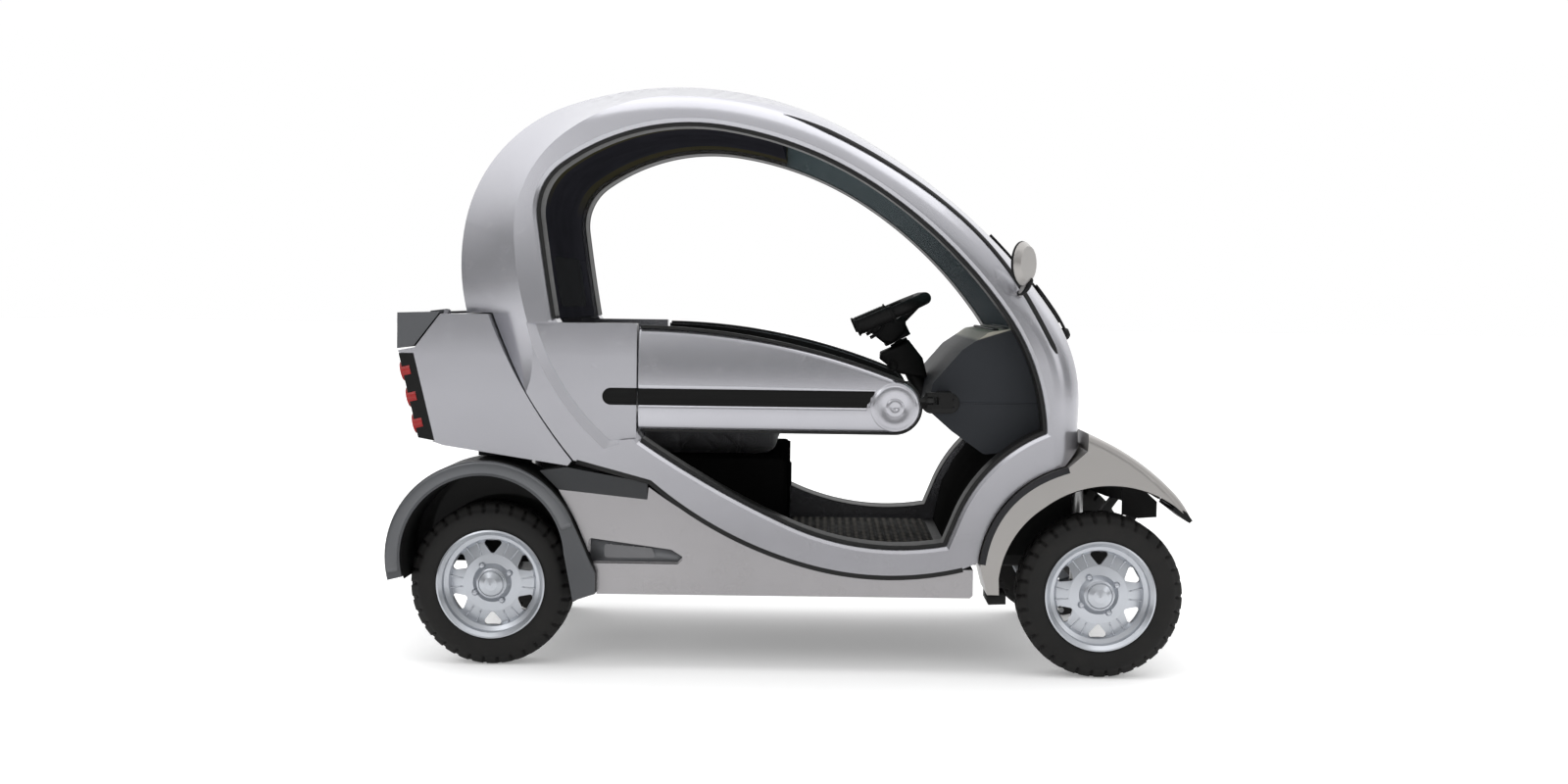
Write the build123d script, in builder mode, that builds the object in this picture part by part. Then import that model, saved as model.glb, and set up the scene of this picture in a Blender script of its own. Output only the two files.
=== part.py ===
"""Small four-wheel cabin electric car with open sides and handlebar steering.

Millimetres. +X forward, +Y to the driver's left, +Z up. The origin is on the ground under
the middle of the vehicle. Side outlines are drawn in the XZ plane and carried along Y.
"""
from build123d import *
from math import cos, radians, sin
import os

os.makedirs("parts", exist_ok=True)

# Wheels and axles
tyre_r = 250
tyre_w = 145
rim_r = 166
bead_r = rim_r - 8
side_r = (tyre_r + rim_r) / 2 - 3
axle_z = tyre_r
front_axle_x = 948
rear_axle_x = -908
front_wheel_y = 510
rear_wheel_y = 460
stub_r = 14
pin_gap = 0.3

# Steering
kingpin_y = 450
kingpin_r = 9
steer_arm = 100
column_foot = Vector(415, 0, 878)
column_lean = Vector(-0.46, 0, 0.888).normalized()
column_r = 30
column_len = 136
shaft_r = 12
console_y = 85
console_x = 90
console_h = 66
bar_points = [(208, 290, 1045), (380, 290, 1121), (428, 190, 1142)]
bar_bend = 45
bar_r = 20
spoke_y = 70

# Mirrors
mirror_centre = (685, -628, 1247)
mirror_foot = (690, -545, 1150)
mirror_r = 65
mirror_yaw = 33

# Body across
ring_y = 565
ring_w = 113
ring_in = ring_y - ring_w
ring_round = 85
fender_y = 600
fender_w = 220
crown = 30
skin = 14
glass_t = 6
panel_gap = 4
seat_gap = 0.3
run_gap = 5

# Outline of the shell seen from the side: start, first heading, then the ends of tangent arcs
shell_start = (-995, 1082)
shell_heading = (-0.2385, 0.9711)
shell_ends = [(-999, 1364), (-684, 1716), (208, 1627), (485, 1437), (800, 1098), (883, 799)]
nose_foot = (884, 700)

# Crease along the ring's side and the deep edge, just outside the shell, that its facet runs to
crease_start = (-815, 780)
crease_heading = (0.471, 0.882)
crease_ends = [(-787, 1049), (-831, 1306), (-679, 1625), (-343, 1731), (208, 1645)]
deep_start = (-1012, 780)
deep_heading = (0.282, 0.959)
deep_ends = [(-1005, 1082), (-1009, 1364), (-691, 1723), (-300, 1783), (208, 1639)]
facet_field = [(-1100, 790), (-812, 790), (-740, 1000), (205, 1200), (205, 1900), (-1100, 1900)]
opening_bevel = 20

# Upper edge of the side opening
opening_start = (-710, 1068)
opening_heading = (-0.1702, 0.9854)
opening_ends = [(-755, 1369), (-685, 1529), (-207, 1645), (252, 1473), (650, 1093), (771, 745)]
opening_knee = (510, 484)
opening_toe = (476, 401)
opening_sill = (3, 458)
opening_heel = (-444, 706)

# Lower edge of the ring, from the rear deck to the front fender
gap_mid = (-765, 797)
gap_foot = (-649, 639)
deck_front = (-907, 1082)
ring_low_rear = (-416, 578)
ring_low_mid = (74, 327)
ring_low_front = (533, 326)
fender_line_low = (578, 345)
fender_line_mid = (640, 507)
fender_line_top = (836, 642)

# Belt panel behind the door
crease_top = (-769, 1055)
crease_mid = (-672, 850)
crease_foot = (-540, 700)
door_rear_x = -455
belt_in = 17
belt_t = 48
slope_lean = 60
slope_field = [(-860, crease_top[1]), (door_rear_x, crease_top[1]), (-510, 690), (-600, 660)]

# Door leaf
door_bottom_z = 734
door_top_z = 1020
door_boss_x = 321
door_boss_z = 812
door_end_r = 78
door_y = 562
door_t = 45
door_gap = 6
stripe_low = 808
stripe_high = 860
stripe_depth = 10
stripe_z = (stripe_low + stripe_high) / 2
stripe_t = 6
capping_h = 12
boss_r = 72
boss_h = 6
hinge_x = 428
hinge_y = 545
hinge_r = 8
hinge_eye = 15
hinge_z = stripe_z
hinge_leaf = 14
fork_t = 12
fork_reach = 26
door_round = 12
stripe_end_x = 262
stripe_slant = 27

# Floor, seat and dashboard
floor_z = 350
floor_t = 14
floor_front = 505
floor_rear = -570
pan_step_x = 60
mat_t = 6
seat_front = -14
seat_rear = -600
seat_base_top = 636
seat_base_y = 400
cushion_h = 104
cushion_w = 560
dash_y = ring_in - 2

# Rear body
deck_z = 1078
rear_y = 560
boot_wall = 16
boot_y = 440
tail_in = 458
tail_points = [(-1184, 958), (-1137, 958), (-1072, 690), (-1124, 700)]
lens_rows = [902, 823, 743]
lens_r = 30
lens_deep = 24
lens_proud = 6
shelf_z = 640
shelf_t = 14
lid_front_x = -1055
lid_rear_x = -1186
lid_gap = 5
lid_pin_x = lid_front_x + 8
lid_pin_z = deck_z + 8
lid_pin_r = 2.5
lid_eye_r = 6
lid_lug_y = 500
lid_eye_w = 24
lid_lug_w = 8

# Rear fender arch
arch_x = -920
arch_z = axle_z + 92
arch_in = tyre_r
arch_out = arch_in + 45
arch_low = 194
arch_high = 22
housing_t = 6
housing_low = 300
axle_hole = 70

# Rear window and headlamps
window_low = 1100
window_high = 1262
window_y = 300
window_round = 40
window_reach = 420
screen_top_x = -34
screen_foot_z = 1000
lamp_y = 330
lamp_z = 850
lamp_r = 62
lamp_depth = 44
lamp_dome = 14

# Lining, header and stripe slot
lining_t = 12
lining_out = 18
header_x = screen_top_x - lining_t
slot_end_x = -565
slot_len = 200

# Sills and their lamp recess
sill_in = 420
sill_w = 140
sill_rear_x = -577
sill_top_rear = (-694, 549)
sill_top_front = (-424, 522)
recess_depth = 18
recess_points = [(-602, 326), (-602, 404), (-350, 372), (-310, 346), (-330, 326)]

# Seat, mat and dashboard
back_top = 990
mat_front = 470
mat_y = 400
dash_heel = (601, 664)
dash_toe = (826, 690)
dash_points = [(428, 798), (440, 880), (530, 985), (611, 1040), (700, 1054), (790, 1012), (830, 950),
               (834, 800), dash_toe, dash_heel, (500, 735)]
shield_t = 14
shield_rear = [(floor_front + seat_gap, floor_z - floor_t), (floor_front + seat_gap, floor_z + 2),
               (535, 487), (576, 566), (650, 668)]
bulkhead_y = 325
bulkhead_front = 925

# Front fender, bonnet and bumper
fender_tip_x = 1215
fender_tip_z = 484
fender_round = 24
bumper_y = 370
bumper_points = [(1030, 556), (1030, 478), (1092, 464), (1170, 470), (1182, 490), (1160, 508), (1095, 566)]
bumper_rear = [(1040, -bumper_y - 1), (1125, 0), (1040, bumper_y + 1)]
bumper_front = [(1150, bumper_y + 1), (1182, 0), (1150, -bumper_y - 1)]
bracket_reach = 120
bracket_w = 30
bonnet_top = [(880, 698), (1045, 632), (1165, 536)]
bonnet_low = [(1152, 526), (1036, 616), (880, 680)]

# Chassis
rail_y = 200
rail_w = 40
rail_h = 50
rail_z = floor_z - floor_t - 2 * seat_gap - rail_h / 2
rail_rear = -1040
rail_front = 1010
cross_x = [-1020, -640, 20, 480, 848, 990]
cross_w = 40
cross_h = rail_h - 16
yoke_h = 80
arm_z = axle_z - 45
stub_out = 40
perch_x = 905
perch_y = 345
shock_r = 18
axle_r = 26
shock_top_z = 600
window_count = 6
window_in = 92
window_out = rim_r - 35
window_half = 36
well_r = rim_r - 17
disc_out = rim_r - 30
disc_in = 88
hub_out = 60
cap_r = 36


def side(y):
    """Sketch plane of side views at a place across the car; its normal points to -Y."""
    return Plane.XZ.offset(-y)


def arcs(start, heading, ends):
    """Chain of arcs, each tangent to the one before; returns the last heading."""
    for end in ends:
        arc = TangentArc(start, end, tangent=heading)
        start = end
        heading = arc % 1
    return heading


def rounded(points, radius):
    """Closed face through the points with every corner rounded."""
    with BuildLine() as line:
        FilletPolyline(*points, radius=radius, close=True)
    make_face(line.edges())


def plate(points, y_from, y_to, radius=0, mode=Mode.ADD):
    """Side-view polygon carried from one place across the car to another."""
    with BuildSketch(side(max(y_from, y_to))) as face:
        if radius:
            rounded(points, radius)
        else:
            with BuildLine():
                Polyline(*points, close=True)
            make_face()
    extrude(face.sketch, amount=abs(y_to - y_from), mode=mode)


def rod(start, end, radius, mode=Mode.ADD):
    """Round bar between two points."""
    start = Vector(*start)
    run = Vector(*end) - start
    with BuildSketch(Plane(start, z_dir=run)) as disc:
        Circle(radius)
    extrude(disc.sketch, amount=run.length, mode=mode)


def keep(part, name):
    """Label a finished piece and write it out."""
    part.part.label = name
    export_step(part.part, f"parts/{name}.step")


def arch_point(radius, degrees):
    """Point on a circle round the rear arch's centre, by its angle from straight ahead."""
    turn = radians(degrees)
    return (arch_x + radius * cos(turn), arch_z + radius * sin(turn))


def opening_face(mode):
    """Side opening: arcs over the top, a knee at the front and a long sweep along the sill."""
    with BuildLine() as line:
        arcs(opening_start, opening_heading, opening_ends)
        Line(opening_toe, opening_knee)
        knee_heading = Vector(opening_knee[0] - opening_toe[0], opening_knee[1] - opening_toe[1])
        TangentArc(opening_knee, opening_ends[-1], tangent=knee_heading)
        arcs(opening_toe, (-1, -0.18), [opening_sill, opening_heel])
        Line(opening_heel, opening_start)
    make_face(line.edges(), mode=mode)


def belt_face(inset, mode=Mode.ADD):
    """Field of the belt panel, between the crease and the door's rear edge."""
    front = door_rear_x - door_gap - inset
    top = crease_top[1] - inset
    foot = crease_foot[1] + inset
    with BuildLine() as line:
        ThreePointArc((crease_top[0] + inset, top), (crease_mid[0] + inset, crease_mid[1]),
                      (crease_foot[0] + inset, foot))
        Polyline((crease_foot[0] + inset, foot), (front, foot + 7), (front, top),
                 (crease_top[0] + inset, top))
    make_face(line.edges(), mode=mode)


def door_face(top_drop=0, mode=Mode.ADD):
    """Leaf of the door: straight foot, round front end, long arc over the top."""
    lift = 68
    centre = Vector(door_boss_x, door_boss_z)
    end_r = door_end_r
    knee = centre + Vector(cos(radians(lift)), sin(radians(lift))) * end_r - Vector(0, top_drop)
    foot = (door_boss_x, door_boss_z - end_r)
    rear_foot = (door_rear_x, foot[1])
    rear_top = (door_rear_x, door_top_z - top_drop)
    with BuildLine() as line:
        Polyline(rear_top, rear_foot, foot)
        ThreePointArc(foot, (door_boss_x + end_r - top_drop / 4, door_boss_z - top_drop / 3), knee)
        TangentArc(knee, rear_top, tangent=(-sin(radians(lift)), cos(radians(lift))))
    make_face(line.edges(), mode=mode)


def facet_face(place, start, heading, ends):
    """Face inside one long edge of the ring's rear facet, at a place across the car."""
    with BuildSketch(side(place)) as face:
        with BuildLine() as line:
            arcs(start, heading, ends)
            Polyline(ends[-1], (ends[-1][0], start[1]), start)
        make_face(line.edges())
    return face.sketch.faces()[0]


def shell_spine():
    """The shell's outline from the deck over the roof to the nose, as one path."""
    with BuildLine(Plane.XZ) as path:
        last = arcs(shell_start, shell_heading, shell_ends)
        TangentArc(shell_ends[-1], nose_foot, tangent=last)
    return path.wires()[0]


def shell_skin(proud, wall):
    """Crowned skin between the side rings, carried along the shell's outline."""
    spine = shell_spine()
    with BuildSketch(Plane(spine @ 0, x_dir=(0, 1, 0), z_dir=spine % 0)) as section:
        with BuildLine():
            ThreePointArc((-ring_in, 0), (0, proud), (ring_in, 0))
            Line((ring_in, 0), (ring_in, -wall))
            ThreePointArc((ring_in, -wall), (0, proud - wall), (-ring_in, -wall))
            Line((-ring_in, -wall), (-ring_in, 0))
        make_face()
    sweep(section.sketch, path=spine)


def lining_band():
    """Inner lining carried along the side opening's upper edge, a little outside it."""
    with BuildLine(Plane.XZ) as edge:
        arcs(opening_start, opening_heading, opening_ends[:4])
    path = edge.wires()[0].offset_2d(lining_out, side=Side.LEFT, closed=False)
    with BuildSketch(Plane(path @ 0, x_dir=(0, 1, 0), z_dir=path % 0)) as section:
        Rectangle(2 * ring_in, lining_t)
    sweep(section.sketch, path=path)


def window_hole(gap, mode):
    """Rounded opening in the rear wall, carried forwards through skin and lining."""
    with BuildSketch(Plane.YZ.offset(-1100)) as hole:
        with Locations((0, (window_low + window_high) / 2)):
            RectangleRounded(2 * (window_y - gap), window_high - window_low - 2 * gap, window_round - gap)
    extrude(hole.sketch, amount=window_reach, mode=mode)


# Rear facet of the ring: what lies outside the slanted face between crease and deep edge
with BuildPart() as facet_core:
    loft([facet_face(-ring_in, deep_start, deep_heading, deep_ends),
          facet_face(-ring_y - 1, crease_start, crease_heading, crease_ends)], ruled=True)
with BuildPart() as facet_waste:
    plate(facet_field, -ring_y - 5, -ring_in + 1)
    add(facet_core.part, mode=Mode.SUBTRACT)

# Side rings: one loop each side, rounded along its outer shoulder, bevelled round the opening
with BuildPart() as side_rings:
    with BuildSketch(side(-ring_in)):
        with BuildLine():
            last = arcs(shell_start, shell_heading, shell_ends)
            TangentArc(shell_ends[-1], nose_foot, tangent=last)
            Line(nose_foot, fender_line_top)
            ThreePointArc(fender_line_top, fender_line_mid, fender_line_low)
            Line(fender_line_low, ring_low_front)
            arcs(ring_low_front, (-0.97, -0.242), [ring_low_mid, ring_low_rear])
            Line(ring_low_rear, gap_foot)
            ThreePointArc(gap_foot, gap_mid, deck_front)
            Line(deck_front, shell_start)
        make_face()
    extrude(amount=ring_w)
    outer = side_rings.faces().sort_by(Axis.Y)[0]
    shoulder = [e for e in outer.outer_wire().edges()
                if (e @ 0.5).Z > deck_front[1] + 1 or ((e @ 0.5).X > 850 and (e @ 0.5).Z > 720)]
    fillet(shoulder, ring_round)
    add(facet_waste.part, mode=Mode.SUBTRACT)
    with BuildSketch(side(-ring_in)):
        opening_face(Mode.ADD)
        belt_face(-seat_gap)
    extrude(amount=ring_w, mode=Mode.SUBTRACT)
    with BuildSketch(side(-ring_y + opening_bevel)):
        opening_face(Mode.ADD)
    extrude(amount=opening_bevel + 1, taper=-45, mode=Mode.SUBTRACT)
    with BuildPart(mode=Mode.PRIVATE) as belt_slope:
        with BuildSketch(side(-ring_y + belt_in)):
            belt_face(-seat_gap)
        extrude(amount=belt_in + 1, taper=-slope_lean)
        plate(slope_field, -ring_y - 5, -ring_in, mode=Mode.INTERSECT)
    add(belt_slope.part, mode=Mode.SUBTRACT)
    mirror(about=Plane.XZ)
keep(side_rings, "side_rings")

# Roof and rear skin with the rear window's hole
with BuildPart() as roof_panel:
    shell_skin(crown, skin)
    plate([(-1200, deck_front[1]), (screen_top_x, deck_front[1]), (screen_top_x, 1900), (-1200, 1900)],
          -600, 600, mode=Mode.INTERSECT)
    window_hole(0, Mode.SUBTRACT)
keep(roof_panel, "roof_panel")

# Rear window: the outer glass in the skin and the inner pane in the lining
with BuildPart() as rear_window:
    shell_skin(crown - 4, glass_t)
    lining_band()
    window_hole(seat_gap, Mode.INTERSECT)
keep(rear_window, "rear_window")

# Windscreen down to the nose
with BuildPart() as windscreen:
    shell_skin(crown, glass_t)
    plate([(screen_top_x + seat_gap, 1900), (screen_top_x + seat_gap, 1400), (600, screen_foot_z),
           (1200, screen_foot_z), (1200, 1900)], -600, 600, mode=Mode.INTERSECT)
keep(windscreen, "windscreen")

# Nose panel below the windscreen, with round holes for the headlamps
with BuildPart() as nose_panel:
    shell_skin(crown, skin)
    nose_top = screen_foot_z - seat_gap
    plate([(600, 600), (1200, 600), (1200, nose_top), (600, nose_top)],
          -600, 600, mode=Mode.INTERSECT)
    with BuildSketch(Plane.YZ.offset(700)):
        with Locations((-lamp_y, lamp_z), (lamp_y, lamp_z)):
            Circle(lamp_r)
    extrude(amount=400, mode=Mode.SUBTRACT)
keep(nose_panel, "nose_panel")

# Headlamps: a can with a domed lens, one in each hole
lamp_rear = shell_ends[-1][0] - 38
lamp_rim = lamp_r - seat_gap
with BuildPart() as headlamps:
    for y in (-lamp_y, lamp_y):
        with BuildSketch(side(y)):
            with BuildLine():
                lamp_face = lamp_rear + lamp_depth
                Polyline((lamp_face + lamp_dome, lamp_z), (lamp_rear, lamp_z),
                         (lamp_rear, lamp_z + lamp_rim), (lamp_face, lamp_z + lamp_rim))
                TangentArc((lamp_face + lamp_dome, lamp_z), (lamp_face, lamp_z + lamp_rim),
                           tangent=(0, 1))
            make_face()
        revolve(axis=Axis((0, y, lamp_z), (1, 0, 0)))
keep(headlamps, "headlamps")

# Inner lining over the rear and the roof, with the window's hole and a header in front
with BuildPart() as headliner:
    lining_band()
    plate([(-1200, 1000), (header_x, 1000), (header_x, 1900), (-1200, 1900)],
          -600, 600, mode=Mode.INTERSECT)
    window_hole(0, Mode.SUBTRACT)
    plate([(header_x, 1622), (screen_top_x, 1618), (screen_top_x, 1713), (header_x, 1716)],
          -ring_in, ring_in)
keep(headliner, "headliner")

# Belt panels behind the doors, with the front stretch of the stripe's slot
with BuildPart() as belt_panels:
    with BuildSketch(side(-ring_y + belt_in + belt_t)):
        belt_face(0)
    extrude(amount=belt_t)
    with BuildSketch(side(-ring_y + belt_in + stripe_depth)):
        with Locations((slot_end_x + slot_len / 2, stripe_z)):
            SlotOverall(slot_len, stripe_high - stripe_low)
    extrude(amount=stripe_depth + 5, mode=Mode.SUBTRACT)
    mirror(about=Plane.XZ)
keep(belt_panels, "belt_panels")
with BuildPart() as belt_strips:
    with BuildSketch(side(-ring_y + belt_in + stripe_depth - seat_gap)):
        with Locations((slot_end_x + slot_len / 2, stripe_z)):
            SlotOverall(slot_len - 2 * seat_gap, stripe_high - stripe_low - 2 * seat_gap)
        with Locations((door_rear_x - door_gap + 200, stripe_z)):
            Rectangle(400, 200, mode=Mode.SUBTRACT)
    extrude(amount=stripe_t)
    mirror(about=Plane.XZ)
keep(belt_strips, "belt_strips")

# Seat base, cushion and back
with BuildPart() as seat_base:
    plate([(seat_front, floor_z), (seat_front, seat_base_top), (seat_rear, seat_base_top),
           (seat_rear, floor_z)], -seat_base_y, seat_base_y, radius=14)
keep(seat_base, "seat_base")
with BuildPart() as seat_cushion:
    cushion_low = seat_base_top + seat_gap
    plate([(seat_front - 6, cushion_low), (seat_front - 6, cushion_low + cushion_h),
           (seat_rear + 110, cushion_low + cushion_h - 20), (seat_rear + 110, cushion_low)],
          -cushion_w / 2, cushion_w / 2, radius=40)
keep(seat_cushion, "seat_cushion")
with BuildPart() as seat_back:
    plate([(seat_rear + 105, cushion_low), (seat_rear + 98, cushion_low + 110),
           (seat_rear + 55, back_top), (seat_rear - 25, back_top), (seat_rear + 10, cushion_low)],
          -cushion_w / 2, cushion_w / 2, radius=26)
keep(seat_back, "seat_back")

# Floor pan between the sills, wider in front where it runs beside the rings
with BuildPart() as floor_pan:
    wide = ring_in - seat_gap
    narrow = sill_in - seat_gap
    pan = [(pan_step_x, wide), (floor_front, wide), (floor_front, -wide), (pan_step_x, -wide),
           (pan_step_x, -narrow), (floor_rear, -narrow), (floor_rear, narrow), (pan_step_x, narrow)]
    with BuildSketch(Plane.XY.offset(floor_z - floor_t - seat_gap)):
        with BuildLine():
            Polyline(*pan, close=True)
        make_face()
    extrude(amount=floor_t)
keep(floor_pan, "floor_pan")
with BuildPart() as floor_mat:
    with BuildSketch(Plane.XY.offset(floor_z)):
        with Locations(((seat_front + 4 + mat_front) / 2, 0)):
            RectangleRounded(mat_front - seat_front - 4, 2 * mat_y, 20)
    extrude(amount=mat_t)
keep(floor_mat, "floor_mat")

# Dashboard, leg shield and front bulkhead
with BuildPart() as dashboard:
    plate(dash_points, -dash_y, dash_y, radius=22)
    lean_end = column_foot + column_lean * 200
    rod(column_foot - column_lean * 60, lean_end, column_r + seat_gap, mode=Mode.SUBTRACT)
keep(dashboard, "dashboard")
with BuildPart() as leg_shield:
    shield_front = [(x + shield_t, z - 0.1 * (x - floor_front)) for x, z in reversed(shield_rear)]
    plate(shield_rear + shield_front, -dash_y, dash_y)
keep(leg_shield, "leg_shield")
with BuildPart() as front_bulkhead:
    rail_top = rail_z + rail_h / 2 + seat_gap
    dash_slope = (dash_toe[1] - dash_heel[1]) / (dash_toe[0] - dash_heel[0])
    top_rear = (680, dash_heel[1] + dash_slope * (680 - dash_heel[0]) - seat_gap)
    top_front = (818, dash_heel[1] + dash_slope * (818 - dash_heel[0]) - seat_gap)
    plate([(540, rail_top), (565, 470), (604, 552), top_rear, top_front,
           (bonnet_low[2][0] - seat_gap, bonnet_low[2][1]), (bulkhead_front, bonnet_low[2][1]),
           (bulkhead_front, rail_top)], -bulkhead_y, bulkhead_y)
    with BuildSketch(side(bulkhead_y)) as above:
        with BuildLine() as line:
            under = [(x, z - seat_gap) for x, z in bonnet_low]
            ThreePointArc(*under)
            Polyline(under[2], (under[2][0], 760), (under[0][0], 760), under[0])
        make_face(line.edges())
    extrude(above.sketch, amount=2 * bulkhead_y, mode=Mode.SUBTRACT)
keep(front_bulkhead, "front_bulkhead")

# Doors: a leaf with a rubber capping, a stripe insert and a round boss at the hinge end
for name, s in (("right", -1), ("left", 1)):
    with BuildPart() as door:
        with BuildSketch(side(s * (door_y - door_t))):
            door_face(capping_h)
        extrude(amount=-s * door_t)
        outer = door.faces().sort_by(Axis.Y)[0 if s < 0 else -1]
        fillet(outer.edges().filter_by(lambda e: (e @ 0.5).X > door_rear_x + 1), door_round)
        with BuildSketch(side(s * (door_y - stripe_depth))):
            with BuildLine():
                Polyline((door_rear_x - 1, stripe_low), (stripe_end_x - stripe_slant, stripe_low),
                         (stripe_end_x, stripe_high), (door_rear_x - 1, stripe_high), close=True)
            make_face()
        extrude(amount=-s * stripe_depth, mode=Mode.SUBTRACT)
        with BuildSketch(side(s * (door_y - 2))):
            with Locations((door_boss_x, door_boss_z)):
                Circle(boss_r - 14)
        extrude(amount=-s * (boss_h + 2))
        tongue_x = hinge_x - door_boss_x - 40
        with Locations((hinge_x - tongue_x / 2, s * hinge_y, hinge_z)):
            Box(tongue_x, 14, hinge_leaf)
        with Locations((hinge_x, s * hinge_y, hinge_z)):
            Cylinder(hinge_eye, hinge_leaf)
            Cylinder(hinge_r + pin_gap, hinge_leaf + 2, mode=Mode.SUBTRACT)
    keep(door, f"door_{name}")
    with BuildPart() as capping:
        with BuildSketch(side(s * (door_y - door_t + 4))):
            door_face(0)
            door_face(capping_h, Mode.SUBTRACT)
        extrude(amount=-s * (door_t - 6))
        add(door.part, mode=Mode.SUBTRACT)
    keep(capping, f"door_capping_{name}")
    with BuildPart() as strip:
        with BuildSketch(side(s * (door_y - stripe_depth + seat_gap))):
            with BuildLine():
                low = stripe_low + seat_gap
                high = stripe_high - seat_gap
                end = stripe_end_x - seat_gap
                Polyline((door_rear_x, low), (end - stripe_slant, low), (end, high), (door_rear_x, high),
                         close=True)
            make_face()
        extrude(amount=-s * stripe_t)
    keep(strip, f"door_strip_{name}")

# Hinge brackets: a fork round each door's eye on an arm from the dashboard
with BuildPart() as door_hinges:
    fork_h = hinge_leaf / 2 + run_gap
    for z in (-fork_h - fork_t / 2, fork_h + fork_t / 2):
        with Locations((hinge_x, -hinge_y, hinge_z + z)):
            Cylinder(hinge_eye, fork_t)
        with Locations((hinge_x + fork_reach / 2, -hinge_y, hinge_z + z)):
            Box(fork_reach, 2 * hinge_eye - 6, fork_t)
    with Locations((hinge_x + fork_reach + 20, -(hinge_y + 12 + dash_y + seat_gap) / 2, hinge_z)):
        Box(40, hinge_y + 12 - dash_y - seat_gap, 2 * (fork_h + fork_t))
    with Locations((hinge_x, -hinge_y, hinge_z)):
        Cylinder(hinge_r, 2 * (fork_h + fork_t))
    mirror(about=Plane.XZ)
keep(door_hinges, "door_hinges")

# Steering column in the dashboard, and the handlebar that turns about it
with BuildPart() as steering_column:
    rod(column_foot - column_lean * 60, column_foot + column_lean * column_len, column_r)
    rod(column_foot + column_lean * (column_len - 50), column_foot + column_lean * (column_len + 5),
        shaft_r + pin_gap, mode=Mode.SUBTRACT)
keep(steering_column, "steering_column")
head_foot = column_foot + column_lean * (column_len + run_gap)
with BuildPart() as handlebar:
    with BuildSketch(Plane(head_foot, x_dir=(0, 1, 0), z_dir=column_lean)):
        RectangleRounded(2 * console_y, console_x, 20)
    extrude(amount=console_h)
    rod(head_foot - column_lean * 45, head_foot + column_lean * 5, shaft_r)
    with BuildLine() as bar_path:
        FilletPolyline(*[(x, y * s, z) for s, row in ((-1, bar_points), (1, bar_points[::-1]))
                         for x, y, z in row], radius=bar_bend)
    with BuildSketch(Plane(bar_path.wires()[0] @ 0, z_dir=bar_path.wires()[0] % 0)):
        Circle(bar_r)
    sweep(path=bar_path.wires()[0])
    spoke_top = Vector(*bar_points[-1])
    for y in (-spoke_y, spoke_y):
        rod(head_foot + column_lean * console_h * 0.6 + Vector(0, y * 0.7, 0),
            (spoke_top.X, y, spoke_top.Z), 13)
keep(handlebar, "handlebar")

# Round mirrors on stalks from the rings' shoulders
with BuildPart() as mirrors:
    mirror_back = Vector(cos(radians(mirror_yaw)), -sin(radians(mirror_yaw)), 0)
    mirror_at = Vector(*mirror_centre)
    with BuildSketch(Plane(mirror_at, z_dir=mirror_back)):
        Circle(mirror_r)
    extrude(amount=8)
    with BuildSketch(Plane(mirror_at + mirror_back * 8, z_dir=mirror_back)):
        Circle(mirror_r)
    extrude(amount=16, taper=40)
    rod(mirror_foot, mirror_at + Vector(12, 0, -mirror_r + 12), 7)
    add(side_rings.part, mode=Mode.SUBTRACT)
    solid = mirrors.solids().sort_by(SortBy.VOLUME)[-1]
    add(solid, mode=Mode.REPLACE)
    mirror(about=Plane.XZ)
keep(mirrors, "mirrors")

# Front fenders: thick guards whose rear edge follows the ring
with BuildPart() as front_fenders:
    with BuildSketch(side(-fender_y + fender_w)):
        with BuildLine():
            line_low = Vector(*fender_line_low) + Vector(panel_gap, -6)
            line_mid = Vector(*fender_line_mid) + Vector(panel_gap, -3)
            line_top = Vector(*fender_line_top) + Vector(panel_gap, -3)
            ThreePointArc(line_low, line_mid, line_top)
            Polyline(line_top, (897, 690), (900, 742))
            ThreePointArc((900, 742), (1045, 665), (1150, 578))
            ThreePointArc((1150, 578), (1192, 527), (fender_tip_x, fender_tip_z))
            Line((fender_tip_x, fender_tip_z), (1160, 530))
            ThreePointArc((1160, 530), (931, 586), (771, 520))
            ThreePointArc((771, 520), (674, 415), (638, 303))
            Polyline((638, 303), (640, 254), (604, 254), line_low)
        make_face()
    extrude(amount=fender_w)
    outer = front_fenders.faces().sort_by(Axis.Y)[0]
    crest = [e for e in outer.outer_wire().edges() if (e @ 0.5).X > 1000 and (e @ 0.5).Z > 550]
    fillet(crest, fender_round)
    mirror(about=Plane.XZ)
keep(front_fenders, "front_fenders")

# Bonnet between the fenders and the black bumper under it
bonnet_y = fender_y - fender_w - seat_gap
with BuildPart() as bonnet:
    with BuildSketch(side(bonnet_y)):
        with BuildLine():
            ThreePointArc(*bonnet_top)
            Line(bonnet_top[2], bonnet_low[0])
            ThreePointArc(*bonnet_low)
            Line(bonnet_low[2], bonnet_top[0])
        make_face()
    extrude(amount=2 * bonnet_y)
keep(bonnet, "bonnet")
with BuildPart() as front_bumper:
    plate(bumper_points, -bumper_y, bumper_y, radius=6)
    with BuildSketch() as bow:
        with BuildLine() as line:
            ThreePointArc(*bumper_rear)
            Line(bumper_rear[2], bumper_front[0])
            ThreePointArc(*bumper_front)
            Line(bumper_front[2], bumper_rear[0])
        make_face(line.edges())
    extrude(bow.sketch, amount=1000, mode=Mode.INTERSECT)
keep(front_bumper, "front_bumper")

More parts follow.
